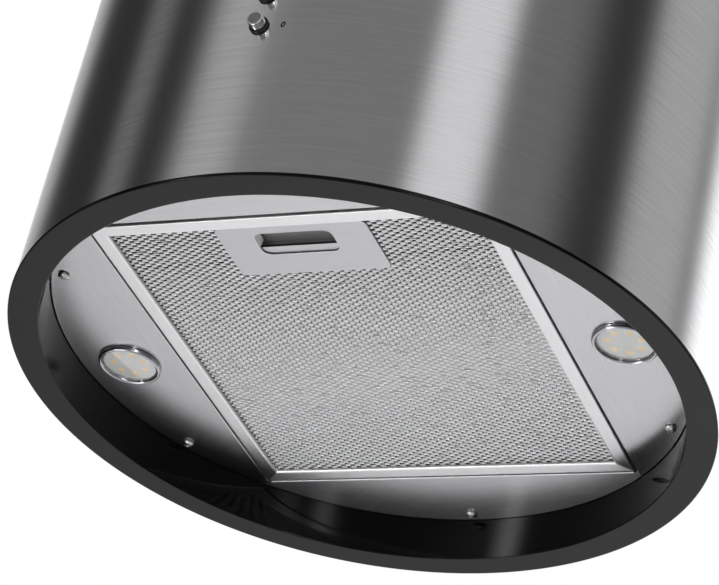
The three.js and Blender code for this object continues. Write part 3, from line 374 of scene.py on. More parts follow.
def softened(corners, sizes, steps=4, hold=0.1):
    """A closed outline whose corners are rounded: each corner P gives way to the curve
    (1-s)^2 A + 2s(1-s) P + s^2 B, where A and B lie that corner's size from P on its sides.
    One more point just beyond A and B keeps the flats between the corners flat."""
    corners = np.asarray(corners, float)
    before, after = np.roll(corners, 1, axis=0) - corners, np.roll(corners, -1, axis=0) - corners
    before /= np.linalg.norm(before, axis=1, keepdims=True)
    after /= np.linalg.norm(after, axis=1, keepdims=True)
    reach = np.broadcast_to(np.asarray(sizes, float), len(corners))[:, None]
    first, last = (corners + before * reach)[:, None], (corners + after * reach)[:, None]
    s = np.linspace(0, 1, steps)[None, :, None]
    curve = (1 - s) ** 2 * first + 2 * s * (1 - s) * corners[:, None] + s ** 2 * last
    curve = np.concatenate([first + before[:, None] * hold, curve, last + after[:, None] * hold], 1)
    return curve.reshape(-1, 2)


upper_low, upper_high = box_mm("upper_shell")
upper_wall = rectangle((upper_high[0] - TUBE_SHEET, upper_low[2]), (upper_high[0], upper_high[2]))
fit_piece("upper_tube", [turned(softened(upper_wall, 0.3), TUBE_SEGMENTS)],
          "ceiling_frame", tube_steel, ["upper_shell"])


# ---------- hanging frame ----------
# A galvanised plate screwed to the ceiling carries four zinc-plated angle posts. Four more
# posts slide outside them and carry the hood, and a clamp bolt at each corner sets the height.


def dress(names, material):
    """Gives CAD nodes, whose shape is right already, their finish."""
    for name in names:
        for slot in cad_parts[name].material_slots:
            slot.material = material


def plated_steel(name, dark, light, rough, spangle):
    """Plated steel: crystal patches a few millimetres across, each with its own shade and
    gloss, under slow cloudy dulling and a fine grit."""
    material, tree, shader = start_material(name)
    place = object_place(tree)
    patch = add_node(tree, "ShaderNodeTexVoronoi", {"Vector": place, "Scale": spangle})
    shade = add_node(tree, "ShaderNodeSeparateColor", {0: patch.outputs["Color"]}).outputs[0]
    tone = mean(tree, shade, place_group(tree, SMUDGES, Scale=14.0)["Mask"])
    feed(tree, shader, {
        "Base Color": blended(tree, tone, dark, light),
        "Roughness": carried(tree, tone, 0.0, 1.0, rough[1], rough[0]),
        "Normal": raised(tree, noise(tree, place, 1500.0, 3.0, 0.6), 0.15), "Metallic": 0.9})
    return material


galvanised = plated_steel("galvanised_steel", (0.42, 0.43, 0.44, 1), (0.66, 0.67, 0.68, 1),
                          (0.35, 0.5), 160.0)
zinc_plate = plated_steel("zinc_plated_steel", grey(0.50, 0.49), grey(0.68, 0.67), (0.28, 0.42),
                          700.0)
bright_steel = brushed_metal("bright_steel", grey(0.55, 0.54), grey(0.72, 0.71),
                             (400.0, 400.0, 400.0), (0.2, 0.34))
CORNERS = ["front_left", "front_right", "rear_left", "rear_right"]
dress(["ceiling_plate"], galvanised)
dress([f"{level}_post_{corner}" for level in ("upper", "lower") for corner in CORNERS], zinc_plate)
dress(["clamp_bolt_" + corner for corner in CORNERS], bright_steel)


# ---------- bottom ring ----------
# The tube's foot is a ring of aluminium painted gloss black. Its flat face covers the tube's
# edge, a collar centres the tube, and its inner wall rises to six tabs that hold the panel.

RING_WALL = 2.0
RING_FLANGE = 2.0
RING_COLLAR_TOP = 14.0
COLLAR_GAP = 0.3
RING_SEGMENTS = 256
RING_INSIDE = 177.9
RING_DRAFT = 0.45
RING_CORNERS = [0.7, 0.8, 0.5, 0.2, 0.6, 0.6, 0.3, 0.3, 0.4, 0.4]
TAB_SHEET = 2.0
TAB_HALF = 13.0
SCREW_ANGLES = np.radians(30.0 + 60.0 * np.arange(6))
GRIT_SCALE = 900.0


def painted(name, dark, light, rough, specular, bump=0.06):
    """Paint or moulded plastic: a nearly even colour with a faint cloud, and a fine texture."""
    material, tree, shader = start_material(name)
    cloud = place_group(tree, SMUDGES, Scale=22.0)["Mask"]
    grit = noise(tree, object_place(tree), GRIT_SCALE, 3.0, 0.6)
    feed(tree, shader, {
        "Base Color": blended(tree, cloud, dark, light),
        "Roughness": carried(tree, cloud, 0.0, 1.0, *rough),
        "Normal": raised(tree, grit, bump), "Specular IOR Level": specular})
    return material


def twice_area(outline):
    """Twice a closed outline's area, above nothing where it runs anticlockwise."""
    after = np.roll(outline, -1, axis=0)
    return (outline[:, 0] * after[:, 1] - outline[:, 1] * after[:, 0]).sum()


def outward(outline):
    """The direction that points out of a closed outline at each of its points."""
    along = np.roll(outline, -1, axis=0) - np.roll(outline, 1, axis=0)
    along /= np.linalg.norm(along, axis=1, keepdims=True)
    return np.stack([along[:, 1], -along[:, 0]], -1) * np.sign(twice_area(outline))


def slab(outline, low, high, edge=0.15):
    """A flat plate: its outline raised from one height to another, drawn in by the edge's
    size at both faces, which are one face each."""
    outline = np.asarray(outline, float)
    drawn_in = outline - outward(outline) * edge
    rings = [(drawn_in, low), (outline, low + edge), (outline, high - edge), (drawn_in, high)]
    points = np.concatenate([
        np.column_stack([ring, np.full(len(ring), height)]) for ring, height in rings])
    last = 3 * len(outline)
    caps = np.stack([np.arange(len(outline))[::-1], np.arange(len(outline)) + last])
    sides = grid_faces(4, len(outline), close_columns=True)
    forward = twice_area(outline) > 0
    return points, [sides[:, ::-1] if forward else sides, caps if forward else caps[:, ::-1]]


def rounded_box(low, high, corner, edge=0.15):
    """A box with upright corners rounded and its upper and lower edges eased."""
    return slab(softened(rectangle(low, high), corner), low[2], high[2], edge)


def spun(solid, angle):
    """A solid turned about the hood's axis."""
    points, face_sets = solid
    c, s = math.cos(angle), math.sin(angle)
    return points @ np.array([[c, s, 0], [-s, c, 0], [0, 0, 1]]), face_sets


ring_outer, _, ring_top = box_mm("bottom_ring")[1]
collar_outer = tube_radius - TUBE_SHEET - COLLAR_GAP
ring_outline = softened([
    (RING_INSIDE, 0), (ring_outer, 0), (ring_outer, RING_FLANGE), (collar_outer, RING_FLANGE),
    (collar_outer, RING_COLLAR_TOP), (collar_outer - RING_WALL, RING_COLLAR_TOP),
    (collar_outer - RING_WALL, RING_FLANGE), (RING_INSIDE + RING_WALL, RING_FLANGE),
    (RING_INSIDE + RING_WALL, ring_top), (RING_INSIDE - RING_DRAFT, ring_top)], RING_CORNERS)
tab = rounded_box((RING_INSIDE - TAB_HALF, -TAB_HALF, ring_top - TAB_SHEET),
                  (RING_INSIDE + 1.0, TAB_HALF, ring_top), 0.9)
ring_black = painted("ring_gloss_black", grey(0.0010, 0.0013), grey(0.0022, 0.0027),
                     (0.06, 0.10), 0.19, bump=0.02)
fit_piece("foot_ring", [turned(ring_outline, RING_SEGMENTS)] + [
    spun(tab, angle) for angle in SCREW_ANGLES], "hood", ring_black, ["bottom_ring"])


# ---------- bottom panel ----------
# A disc of brushed 1 mm stainless sheet. The opening for the filter is cut out and its four
# sides are folded up, slotted at the front for the latch and notched behind for two hooks.

PANEL_SHEET = 1.0
PANEL_BEND = 0.5
FLAT_STRIP = 0.5
PANEL_SEGMENTS = 256
LAMP_HOLE_RADIUS = 16.9
SCREW_HOLE_RADIUS = 2.0
SCREW_CIRCLE = 170.4
FLANGE_CORNER_GAP = 2.2
HOOK_CENTRES = (-80.0, 80.0)
HOOK_NOTCH_HALF = 6.6
KEEPER_HALF = 10.6
KEEPER_CENTRE = -1.0
KEEPER_HEIGHTS = (28.0, 30.1)


def circle_line(centre, radius, count):
    """Points round a circle."""
    angle = even_turn(count)
    return np.stack([centre[0] + radius * np.cos(angle), centre[1] + radius * np.sin(angle)], -1)


def cut_sheet(outline, holes, seams=()):
    """A flat outline with holes, filled with triangles that face down. A seam joins two of the
    outlines' points, and no triangle crosses it. A triangle is left out where a line from its
    middle towards +x meets a hole's outline an odd number of times."""
    loops = [np.asarray(loop, float) for loop in [outline, *holes]]
    starts = np.cumsum([0] + [len(loop) for loop in loops])
    edges = [(start + i, start + (i + 1) % len(loop))
             for loop, start in zip(loops, starts) for i in range(len(loop))]
    flat = np.concatenate(loops)
    edges += [tuple(int(np.hypot(*(flat - point).T).argmin()) for point in seam) for seam in seams]
    _, _, faces, given, _, _ = delaunay_2d_cdt(
        [Vector(point) for point in flat], edges, [], 1, 1e-5)
    faces = np.array([ids[0] for ids in given])[np.array(faces)]
    centre = flat[faces].mean(axis=1)
    x, y = centre[:, :1], centre[:, 1:]
    in_hole = np.zeros(len(faces), bool)
    for loop in loops[1:]:
        ahead = np.roll(loop, -1, axis=0)
        crosses = (loop[:, 1] > y) != (ahead[:, 1] > y)
        rise = np.where(ahead[:, 1] == loop[:, 1], 1, ahead[:, 1] - loop[:, 1])
        meets = loop[:, 0] + (y - loop[:, 1]) * (ahead[:, 0] - loop[:, 0]) / rise
        in_hole ^= (crosses & (x < meets)).sum(axis=1) % 2 == 1
    faces = faces[~in_hole]
    corner = flat[faces]
    turn = np.cross(corner[:, 1] - corner[:, 0], corner[:, 2] - corner[:, 0])
    return flat, np.where((turn > 0)[:, None], faces[:, ::-1], faces)


panel_low, panel_high = box_mm("bottom_panel")
panel_radius, panel_face = panel_high[0], panel_low[2]
opening = {"left": -114.985, "right": 114.5, "front": -127.291, "rear": 130.14}
lamp_centres = [(sum(box_mm("lamp_bezel_" + side)) / 2)[:2] for side in ("left", "right")]


def folded_flange(side, along, cut_cells):
    """A folded side of the opening over positions a and a profile that runs flat, round the
    bend and up: near it is (bend + strip, 0), (bend - bend sin t, bend - bend cos t), (0, up),
    and on the far side the same a sheet's thickness out. The first number is measured out from
    the opening's side and the second up from the panel's face. Cut cells are left out."""
    turn = np.linspace(0, math.pi / 2, 5)
    rises = np.array([*KEEPER_HEIGHTS, panel_high[2]]) - panel_face
    sheets = []
    for out in (0.0, PANEL_SHEET):
        outs = np.concatenate([[PANEL_BEND + FLAT_STRIP],
                               PANEL_BEND - (PANEL_BEND - out) * np.sin(turn), np.full(3, out)])
        ups = np.concatenate([[out], PANEL_BEND - (PANEL_BEND - out) * np.cos(turn), rises])
        a, reach = (grid.ravel() for grid in np.meshgrid(along, outs, indexing="ij"))
        place = opening[side] + (reach if side in ("rear", "right") else -reach)
        x, y = (a, place) if side in ("front", "rear") else (place, a)
        sheets.append(np.column_stack([x, y, panel_face + np.tile(ups, len(along))]))
    faces = grid_faces(len(along), len(ups)).reshape(len(along) - 1, len(ups) - 1, 4)
    kept = np.ones(faces.shape[:2], bool)
    for row, first, last in cut_cells:
        kept[row, first:last] = False
    faces = faces[kept]
    return (*sheets, faces[:, ::-1] if side in ("front", "right") else faces)


def make_panel():
    """The flat disc and its four flanges as one sheet, then given its thickness."""
    edge, gap = PANEL_BEND + FLAT_STRIP, FLANGE_CORNER_GAP
    left, right = opening["left"] - edge, opening["right"] + edge
    front, rear = opening["front"] - edge, opening["rear"] + edge
    ends_x = [opening["left"] + gap, opening["right"] - gap]
    ends_y = [opening["front"] + gap, opening["rear"] - gap]
    front_x = [ends_x[0], KEEPER_CENTRE - KEEPER_HALF, KEEPER_CENTRE + KEEPER_HALF, ends_x[1]]
    notches = [centre + end * HOOK_NOTCH_HALF for centre in HOOK_CENTRES for end in (-1, 1)]
    rear_x = [ends_x[0], *notches, ends_x[1]]
    window = ([(x, front) for x in front_x] + [(right, y) for y in ends_y]
              + [(x, rear) for x in rear_x[::-1]] + [(left, y) for y in ends_y[::-1]])
    rim = circle_line((0, 0), panel_radius, PANEL_SEGMENTS)
    seams = [((x, y), rim[np.hypot(rim[:, 0] - x, rim[:, 1] - y).argmin()])
             for x in (left, right) for y in ends_y]
    lamp_holes = [circle_line(centre, LAMP_HOLE_RADIUS, 64) for centre in lamp_centres]
    screw_holes = [circle_line((SCREW_CIRCLE * math.cos(a), SCREW_CIRCLE * math.sin(a)),
                               SCREW_HOLE_RADIUS, 24) for a in SCREW_ANGLES]
    flat, faces = cut_sheet(rim, [window, *lamp_holes, *screw_holes], seams)
    near = [np.column_stack([flat, np.full(len(flat), panel_face)])]
    far = [near[0] + [0, 0, PANEL_SHEET]]
    face_sets = [faces]
    keeper, hook_notches = [(1, 6, 7)], [(1, 4, 8), (3, 4, 8)]
    for side, along, cut_cells in [("front", front_x, keeper), ("rear", rear_x, hook_notches),
                                   ("left", ends_y, []), ("right", ends_y, [])]:
        near_side, far_side, side_faces = folded_flange(side, along, cut_cells)
        face_sets.append(side_faces + sum(map(len, near)))
        near.append(near_side)
        far.append(far_side)
    return given_thickness(np.concatenate(near), np.concatenate(far), face_sets)


def lay_grain(piece, name, lead):
    """A UV map in metres that follows a grain laid round the opening: V runs with it and U
    across. It runs fore and aft where |x| + lead > |y - middle|, and from side to side
    elsewhere."""
    mesh = piece.data
    points = np.zeros(len(mesh.vertices) * 3, np.float32)
    mesh.vertices.foreach_get("co", points)
    corners = np.zeros(len(mesh.loops), np.int32)
    mesh.loops.foreach_get("vertex_index", corners)
    sizes = np.zeros(len(mesh.polygons), np.int32)
    mesh.polygons.foreach_get("loop_total", sizes)
    centres = np.zeros(len(mesh.polygons) * 3, np.float32)
    mesh.polygons.foreach_get("center", centres)
    centres = np.abs(centres.reshape(-1, 3)[:, :2] - [0, OPENING_MIDDLE * MM])
    at_side = np.repeat(centres[:, 0] + lead * MM > centres[:, 1], sizes)
    x, y, z = points.reshape(-1, 3)[corners].T
    grain = np.stack([np.where(at_side, x, y) + z, np.where(at_side, y, x)], -1)
    mesh.uv_layers.new(name=name).uv.foreach_set("vector", grain.astype(np.float32).ravel())


OPENING_MIDDLE = (opening["front"] + opening["rear"]) / 2
panel_steel = brushed_metal("panel_brushed_steel", grey(0.50, 0.505), grey(0.615, 0.62),
                            (1800.0, 25.0, 0.0), (0.22, 0.25), bump=0.002, anisotropic=0.9,
                            uv_map="grain")
panel = fit_piece("panel_sheet", [make_panel()], "hood", panel_steel,
                  ["bottom_panel"])
lay_grain(panel, "grain", opening["rear"] - OPENING_MIDDLE - opening["right"])


# ---------- panel screws ----------
# Six stainless pan-head screws with cross recesses, driven up through the panel into the
# ring's tabs.

SCREW_HEAD_RADIUS = 3.2
SCREW_HEAD_HEIGHT = 2.0
SCREW_SHANK_RADIUS = 1.7
SCREW_TIP_RADIUS = 0.5
SCREW_TIP_LENGTH = 1.0
SCREW_DOME = 1.15
RECESS_HALF_WIDTH = 0.42
RECESS_REACH = 1.75
RECESS_DEPTH = 0.9
RECESS_EASE = (0.12, 0.3)
SCREW_COLUMNS = 64


def closed_round(radius, height, columns, centre=(0.0, 0.0)):
    """A line of (radius r, height) from the axis and back to it, carried round Z:
    x = r cos a, y = r sin a."""
    angle = even_turn(columns)
    radius, height = np.asarray(radius, float)[:, None], np.asarray(height, float)[:, None]
    points = np.stack([
        centre[0] + radius * np.cos(angle), centre[1] + radius * np.sin(angle),
        np.broadcast_to(height, (len(radius), columns))], -1).reshape(-1, 3)
    return points, [grid_faces(len(radius), columns, close_columns=True)]


def panel_screw(low, high, centre, turn):
    """A domed head, height = low + dome (r / R)^2.4, then its rim, its shank and its tip. The
    recess deepens it where a point lies within both arms' width and reach."""
    top = low + SCREW_HEAD_HEIGHT
    head = np.linspace(0, SCREW_HEAD_RADIUS, 26)
    radius = np.concatenate([head, [
        SCREW_HEAD_RADIUS, SCREW_SHANK_RADIUS, SCREW_SHANK_RADIUS, SCREW_TIP_RADIUS, 0]])
    height = np.concatenate([low + SCREW_DOME * (head / SCREW_HEAD_RADIUS) ** 2.4,
                             [top, top, high - SCREW_TIP_LENGTH, high, high]])
    points, face_sets = closed_round(radius, height, SCREW_COLUMNS)
    c, s = math.cos(turn), math.sin(turn)
    across = np.sort(np.abs(points[:, :2] @ np.array([[c, s], [-s, c]])), axis=1)
    inside = (np.array([RECESS_HALF_WIDTH, RECESS_REACH]) - across) / RECESS_EASE + 0.5
    share = np.clip(inside, 0, 1).prod(axis=1)
    points[:, 2] += share * RECESS_DEPTH * (points[:, 2] < top - 0.1)
    return points + [*centre, 0], face_sets


screw_steel = brushed_metal("screw_steel", grey(0.50, 0.49), grey(0.66, 0.65),
                            (300.0, 300.0, 300.0), (0.16, 0.28))
for count in range(6):
    low, high = box_mm(f"panel_screw_{count + 1}")
    screw = panel_screw(low[2], high[2], (low[:2] + high[:2]) / 2, 0.4 + 1.9 * count)
    fit_piece(f"screw_{count + 1}", [screw], "hood", screw_steel,
              [f"panel_screw_{count + 1}"])


# ---------- inner carrier ----------
# A galvanised ring of folded sheet above the panel. It stiffens the tube's foot, and the four
# lower posts stand on it.

dress(["inner_carrier"], galvanised)


# ---------- filter frame ----------
# Four lengths of rolled aluminium channel, mitred at the corners, hold the filter's mesh. Two
# hooks on the rear length hang in the panel's notches, and the filter swings down from them.

FRAME_BORDER = 9.0
FRAME_LIP = 1.95
FRAME_TOP_LIP = 0.9
FRAME_WALL = 2.0
FRAME_CORNERS = [0.8, 1.7, 0.15, 0.2, 0.2, 0.2, 0.2, 0.8]
FRAME_SHIFTED_LEFT = (0.6, 0.3)
FRAME_REAR_GAP = 1.25
MITRE_GAP = 0.05
HOOK_HALF = 6.0
HOOK_HEIGHTS = (28.4, 29.4)


def mitred_bar(start, end, profile):
    """A profile of (distance in, height) carried from one corner to the next. Both ends are
    cut at 45 degrees: a point that lies u in starts and stops u short of the corners."""
    start, end = np.array(start, float), np.array(end, float)
    along = (end - start) / np.linalg.norm(end - start)
    inward = np.array([-along[1], along[0]])
    reach = profile[:, :1]
    ends = [corner + side * along * (reach + MITRE_GAP) + inward * reach
            for corner, side in ((start, 1), (end, -1))]
    points = np.concatenate([np.column_stack([flat, profile[:, 1]]) for flat in ends])
    count = len(profile)
    caps = np.stack([np.arange(count), np.arange(count)[::-1] + count])
    return points, [grid_faces(2, count, close_columns=True)[:, ::-1], caps]


filter_low, filter_high = box_mm("filter_frame")
frame_low, frame_top = filter_low[2], filter_high[2]
frame_rear = opening["rear"] - FRAME_REAR_GAP
frame_left = filter_low[0] - FRAME_SHIFTED_LEFT[0]
frame_right = filter_high[0] - FRAME_SHIFTED_LEFT[1]
frame_corners = rectangle((frame_left, filter_low[1]), (frame_right, frame_rear))
channel = softened([
    (0, frame_low), (FRAME_BORDER, frame_low), (FRAME_BORDER, frame_low + FRAME_LIP),
    (FRAME_WALL, frame_low + FRAME_LIP), (FRAME_WALL, frame_top - FRAME_TOP_LIP),
    (FRAME_BORDER, frame_top - FRAME_TOP_LIP), (FRAME_BORDER, frame_top), (0, frame_top)],
    FRAME_CORNERS, steps=6)
bars = [mitred_bar(frame_corners[k], frame_corners[(k + 1) % 4], channel) for k in range(4)]
hooks = [rounded_box((centre - HOOK_HALF, frame_rear - FRAME_WALL, HOOK_HEIGHTS[0]),
                     (centre + HOOK_HALF, filter_high[1], HOOK_HEIGHTS[1]), 1.0, 0.2)
         for centre in HOOK_CENTRES]
rail_aluminium = brushed_metal("rail_aluminium", grey(0.75), grey(0.80), (1200.0, 30.0, 0.0),
                               (0.27, 0.31), bump=0.006, anisotropic=0.8, uv_map="grain")
frame_bars = fit_piece("filter_channel", bars + hooks, "filter", rail_aluminium,
                       ["filter_frame"])
lay_grain(frame_bars, "grain", (frame_rear - filter_low[1] - frame_right + frame_left) / 2)


# ---------- filter mesh ----------
# Three layers of expanded aluminium, laid loose in the frame: sheet slit and stretched into
# wavy strands that meet in turn with the strand before and the strand behind. Under the third,
# which is the filter's upper side, lies a nearly black sheet of painted shade that stands for
# the strands in shadow deep in the filter. The front layer's lowest edges carry a painted
# highlight, and the two deeper layers are painted lighter than the front one.

MESH_PITCH = (6.18, 1.895)
REAR_PITCH = (MESH_PITCH[0] * 1.006, MESH_PITCH[1] * 1.002)
REAR_LEAN = 0.019
MESH_LIP = 0.22
MESH_BOND_SHARE = 0.5
STRAND_SHEET = 0.24
SHADE_SHEET_DEPTHS = (1.6, 0.6)
COVER_GAP = 0.3


mesh_low, mesh_high = box_mm("filter_mesh")
cover_low, cover_high = box_mm("filter_handle_cover")
notch_left, notch_right = cover_low[0] - COVER_GAP, cover_high[0] + COVER_GAP
notch_rear = cover_high[1] + COVER_GAP


def strands(x_from, x_to, y_from, y_to, height, width, shift, pitch, lean):
    """Strands over x, one for each row k, pitches p long and across, with a trapezoid wave w(x)
    whose sign turns from row to row. Edges: y = (k + 1/2) p + A w -+ s/2, where s is a strand's
    width and A = (p - s) / 2, so that a strand meets the next where its w is 1. The rear edge
    hangs down by lip (1 - w) / 2, like a louvre's. The whole is moved by shift in x and y, and
    leans: x grows by lean for each millimetre from the mesh's front."""
    long, across = pitch
    first = math.ceil((x_from - shift[0]) / long)
    last = math.floor((x_to - shift[0]) / long)
    bond = MESH_BOND_SHARE / 2
    phases = np.array([-bond, bond, 0.5 - bond, 0.5 + bond])
    x = ((np.arange(first, last)[:, None] + phases) * long + shift[0]).ravel()
    x = np.concatenate([[x_from], np.clip(x, x_from + 0.1, x_to - 0.1), [x_to]])
    wave = np.tile([1.0, 1.0, -1.0, -1.0], last - first)
    wave = np.concatenate([wave[-1:], wave, wave[:1]])
    rows = np.arange(math.ceil((y_from - shift[1]) / across),
                     math.floor((y_to - shift[1]) / across))
    w = np.where(rows % 2 == 0, 1.0, -1.0)[:, None] * wave
    half, thin = width / 2, STRAND_SHEET / 2
    line = (rows[:, None] + 0.5) * across + shift[1] + (across / 2 - half) * w
    flat, rear = np.full(w.shape, float(height)), height - MESH_LIP * (1 - w) / 2
    y = np.stack([line - half, line + half, line + half, line - half], -1)
    z = np.stack([flat - thin, rear - thin, rear + thin, flat + thin], -1)
    leaning = x[:, None] + lean * (line[..., None] - mesh_low[1])
    points = np.stack([np.broadcast_to(leaning, y.shape), y, z], -1).reshape(-1, 3)
    strip = grid_faces(len(x), 4, close_columns=True)
    caps = np.array([[0, 3, 2, 1], np.arange(4) + 4 * (len(x) - 1)])
    starts = (np.arange(len(rows)) * len(x) * 4)[:, None, None]
    return points, [(strip + starts).reshape(-1, 4), (caps + starts).reshape(-1, 4)]


def mesh_layer(height, width, shift, pitch=MESH_PITCH, lean=0.0):
    """Strands over the whole filter, in three fields that leave the handle's cover clear: one
    behind the cover, and one to each side of it. A leaning field ends short by what it leans."""
    middle = math.ceil((notch_rear + 1.2) / MESH_PITCH[1]) * MESH_PITCH[1]
    right = mesh_high[0] - lean * (mesh_high[1] - mesh_low[1])
    fields = [(mesh_low[0], right, middle, mesh_high[1]),
              (mesh_low[0], notch_left - 40 * lean, mesh_low[1], middle),
              (notch_right, right, mesh_low[1], middle)]
    return [strands(*field, height, width, shift, pitch, lean) for field in fields]


def paint_lip_highlight(material, highlight_colour, lowest, highest):
    """Paints a highlight into a metal's colour toward the lowest edges of its piece, between two
    heights in metres: near white where the strands' hanging lips would catch the light.
    """
    tree = material.node_tree
    colour = tree.nodes["Principled BSDF"].inputs["Base Color"]
    plain = colour.links[0].from_socket
    height = add_node(tree, "ShaderNodeSeparateXYZ", {0: object_place(tree)}).outputs["Z"]
    share = carried(tree, height, lowest, highest, 1.0, 0.0)
    tree.links.new(blended(tree, share, plain, highlight_colour), colour)
    return material


front_layer = mesh_low[2] + MESH_LIP + STRAND_SHEET / 2
front_face = LOWER_EDGE + (front_layer - STRAND_SHEET / 2) / 1000
# Painted highlight: the front layer is near white at its lowest edges, where its hanging lips would
# catch the light.
mesh_aluminium = paint_lip_highlight(
    brushed_metal("mesh_aluminium", grey(0.64), grey(0.74), (500.0, 500.0, 500.0), (0.5, 0.6)),
    grey(0.98), front_face - 0.0002, front_face - 0.00002)
# The deeper layers are the same aluminium as the front one, painted lighter to lift them in its
# shade.
deep_aluminium = brushed_metal("deep_aluminium", grey(0.84), grey(0.92),
                               (500.0, 500.0, 500.0), (0.6, 0.7))
# Painted shade: a nearly black sheet that stands for the strands in shadow deep in the filter.
painted_shade_sheet = brushed_metal("painted_shade_sheet", grey(0.02), grey(0.06),
                               (420.0, 700.0, 300.0), (0.5, 0.7), bump=0.4)
shade_sheet_outline = [(mesh_low[0], mesh_low[1]), (notch_left, mesh_low[1]), (notch_left, notch_rear),
                (notch_right, notch_rear), (notch_right, mesh_low[1]), (mesh_high[0], mesh_low[1]),
                (mesh_high[0], mesh_high[1]), (mesh_low[0], mesh_high[1])]
shade_sheet_low, shade_sheet_high = (mesh_high[2] - depth for depth in SHADE_SHEET_DEPTHS)
for name, solids, material, nodes in [
        ("mesh_front_layer", mesh_layer(front_layer, 0.82, (0, 0)), mesh_aluminium,
         ["filter_mesh"]),
        ("mesh_rear_layer", mesh_layer(
            mesh_low[2] + 2.2, 1.1, (-1.19, -1.14), REAR_PITCH, REAR_LEAN), deep_aluminium, []),
        ("mesh_shade_sheet", [slab(shade_sheet_outline, shade_sheet_low, shade_sheet_high, 0.1)], painted_shade_sheet, []),
        ("mesh_back_layer", mesh_layer(mesh_high[2] - STRAND_SHEET, 1.0, (0.7, 0.4)),
         deep_aluminium, [])]:
    fit_piece(name, solids, "filter", material, nodes)


# ---------- filter handle and latch ----------
# A pressed aluminium plate with a finger slot closes the mesh's front edge. A slide behind it
# carries the latch's tongue, pushed shut by a coil spring. A grey well and a moulded black
# cover close the slot from above.

PLATE_SLOT = ((-23.9, -109.5), (20.5, -91.0))
PLATE_CORNER = 4.0
PLATE_INSET = 0.65
SLOT_CORNER = 5.5
TONGUE_HALF = 10.0
TONGUE_LENGTH = 6.0
SLIDE_HEIGHTS = (0.16, 1.5)
SLIDE_WINDOW = ((-27.0, -112.6), (25.0, -96.7))
GRIP_REAR = -89.8
GRIP_SHEET = 0.12
LUG_HALF = 3.4
LUG_DEPTH = 1.2
WELL_SHEETS = {
    "roof": ((-26.0, -113.0, 32.65), (24.0, -95.0, 32.85), 0.5),
    "rear wall": ((-24.9, -95.5, 29.95), (22.1, -95.1, 32.7), 0.1),
    "right wall": ((21.7, -108.4, 28.1), (22.1, -96.85, 32.7), 0.1)}
CHEEK_ENDS = ((-24.7, -96.85), (-24.7, -108.4))
CHEEK_PROFILE = [(0.0, 28.1), (0.5, 28.1), (3.1, 30.7), (3.1, 32.6), (0.0, 32.6)]
SPRING_WIRE = 0.35
SPRING_TURNS = 5


def framed_plate(outer, inner, low, high, edge, lip):
    """A flat plate between two matched outlines, its section carried round from one to the
    other. Its lower edges are rounded by quarter circles, of radius edge outside and lip round
    the hole, and above that the hole widens by half the sheet's thickness."""
    out_normal, in_normal = outward(outer), outward(inner)
    turn = np.linspace(0, math.pi / 2, 5)
    section = [(outer, -out_normal, edge + 0.1, low)]
    section += [(outer, -out_normal, edge * (1 - math.sin(t)), low + edge * (1 - math.cos(t)))
                for t in turn]
    section += [(outer, -out_normal, 0.0, high), (inner, in_normal, (high - low) / 2, high)]
    section += [(inner, in_normal, lip * (1 - math.cos(t)), low + lip * (1 - math.sin(t)))
                for t in turn]
    section += [(inner, in_normal, lip + 0.1, low)]
    points = np.stack([
        np.column_stack([outline + normal * reach, np.full(len(outline), height)])
        for outline, normal, reach, height in section], 1).reshape(-1, 3)
    return points, [grid_faces(len(outer), len(section), close_rows=True, close_columns=True)]


def cut_plate(outline, holes, low, high):
    """A flat sheet with holes, raised from one height to another."""
    flat, faces = cut_sheet(outline, holes)
    near = np.column_stack([flat, np.full(len(flat), low)])
    return given_thickness(near, near + [0, 0, high - low], [faces])


plate_low, plate_high = box_mm("filter_handle_plate")
plate_outer = softened(rectangle(plate_low, plate_high), PLATE_CORNER, 10)
plate_slot = softened(rectangle(*PLATE_SLOT), SLOT_CORNER, 10)
plate = framed_plate(plate_outer, plate_slot, plate_low[2] + PLATE_INSET, plate_high[2], 0.3, 0.1)
handle_aluminium = brushed_metal("handle_aluminium", grey(0.53, 0.54), grey(0.58, 0.59),
                                 (60.0, 900.0, 90.0), (0.3, 0.4), bump=0.08)
fit_piece("handle_plate", [plate], "filter", handle_aluminium,
          ["filter_handle_plate"])

latch_low, latch_high = box_mm("filter_latch")
slide_low, slide_high = (latch_low[2] + height for height in SLIDE_HEIGHTS)
shoulder = latch_low[1] + TONGUE_LENGTH
tongue_left, tongue_right = KEEPER_CENTRE - TONGUE_HALF, KEEPER_CENTRE + TONGUE_HALF
slide_outline = [
    (latch_low[0], shoulder), (tongue_left, shoulder), (tongue_left, latch_low[1]),
    (tongue_right, latch_low[1]), (tongue_right, shoulder), (latch_high[0], shoulder),
    (latch_high[0], latch_high[1]), (latch_low[0], latch_high[1])]
slide_window = softened(rectangle(*SLIDE_WINDOW), 0.6)
grip = rounded_box((latch_low[0] + 1, SLIDE_WINDOW[1][1] + 0.05, latch_low[2]),
                   (latch_high[0] - 1, GRIP_REAR, latch_low[2] + GRIP_SHEET), 0.3, 0.04)
lug = rounded_box((KEEPER_CENTRE - LUG_HALF, latch_high[1] - LUG_DEPTH, slide_low),
                  (KEEPER_CENTRE + LUG_HALF, latch_high[1], latch_high[2]), 0.2, 0.1)
black_plastic = painted("black_plastic", grey(0.010, 0.011), grey(0.020, 0.021), (0.36, 0.5),
                        0.4, bump=0.2)
fit_piece("latch_slide", [cut_plate(slide_outline, [slide_window], slide_low, slide_high), lug],
          "latch", black_plastic, ["filter_latch"])
fit_piece("latch_grip", [grip], "latch", handle_aluminium)


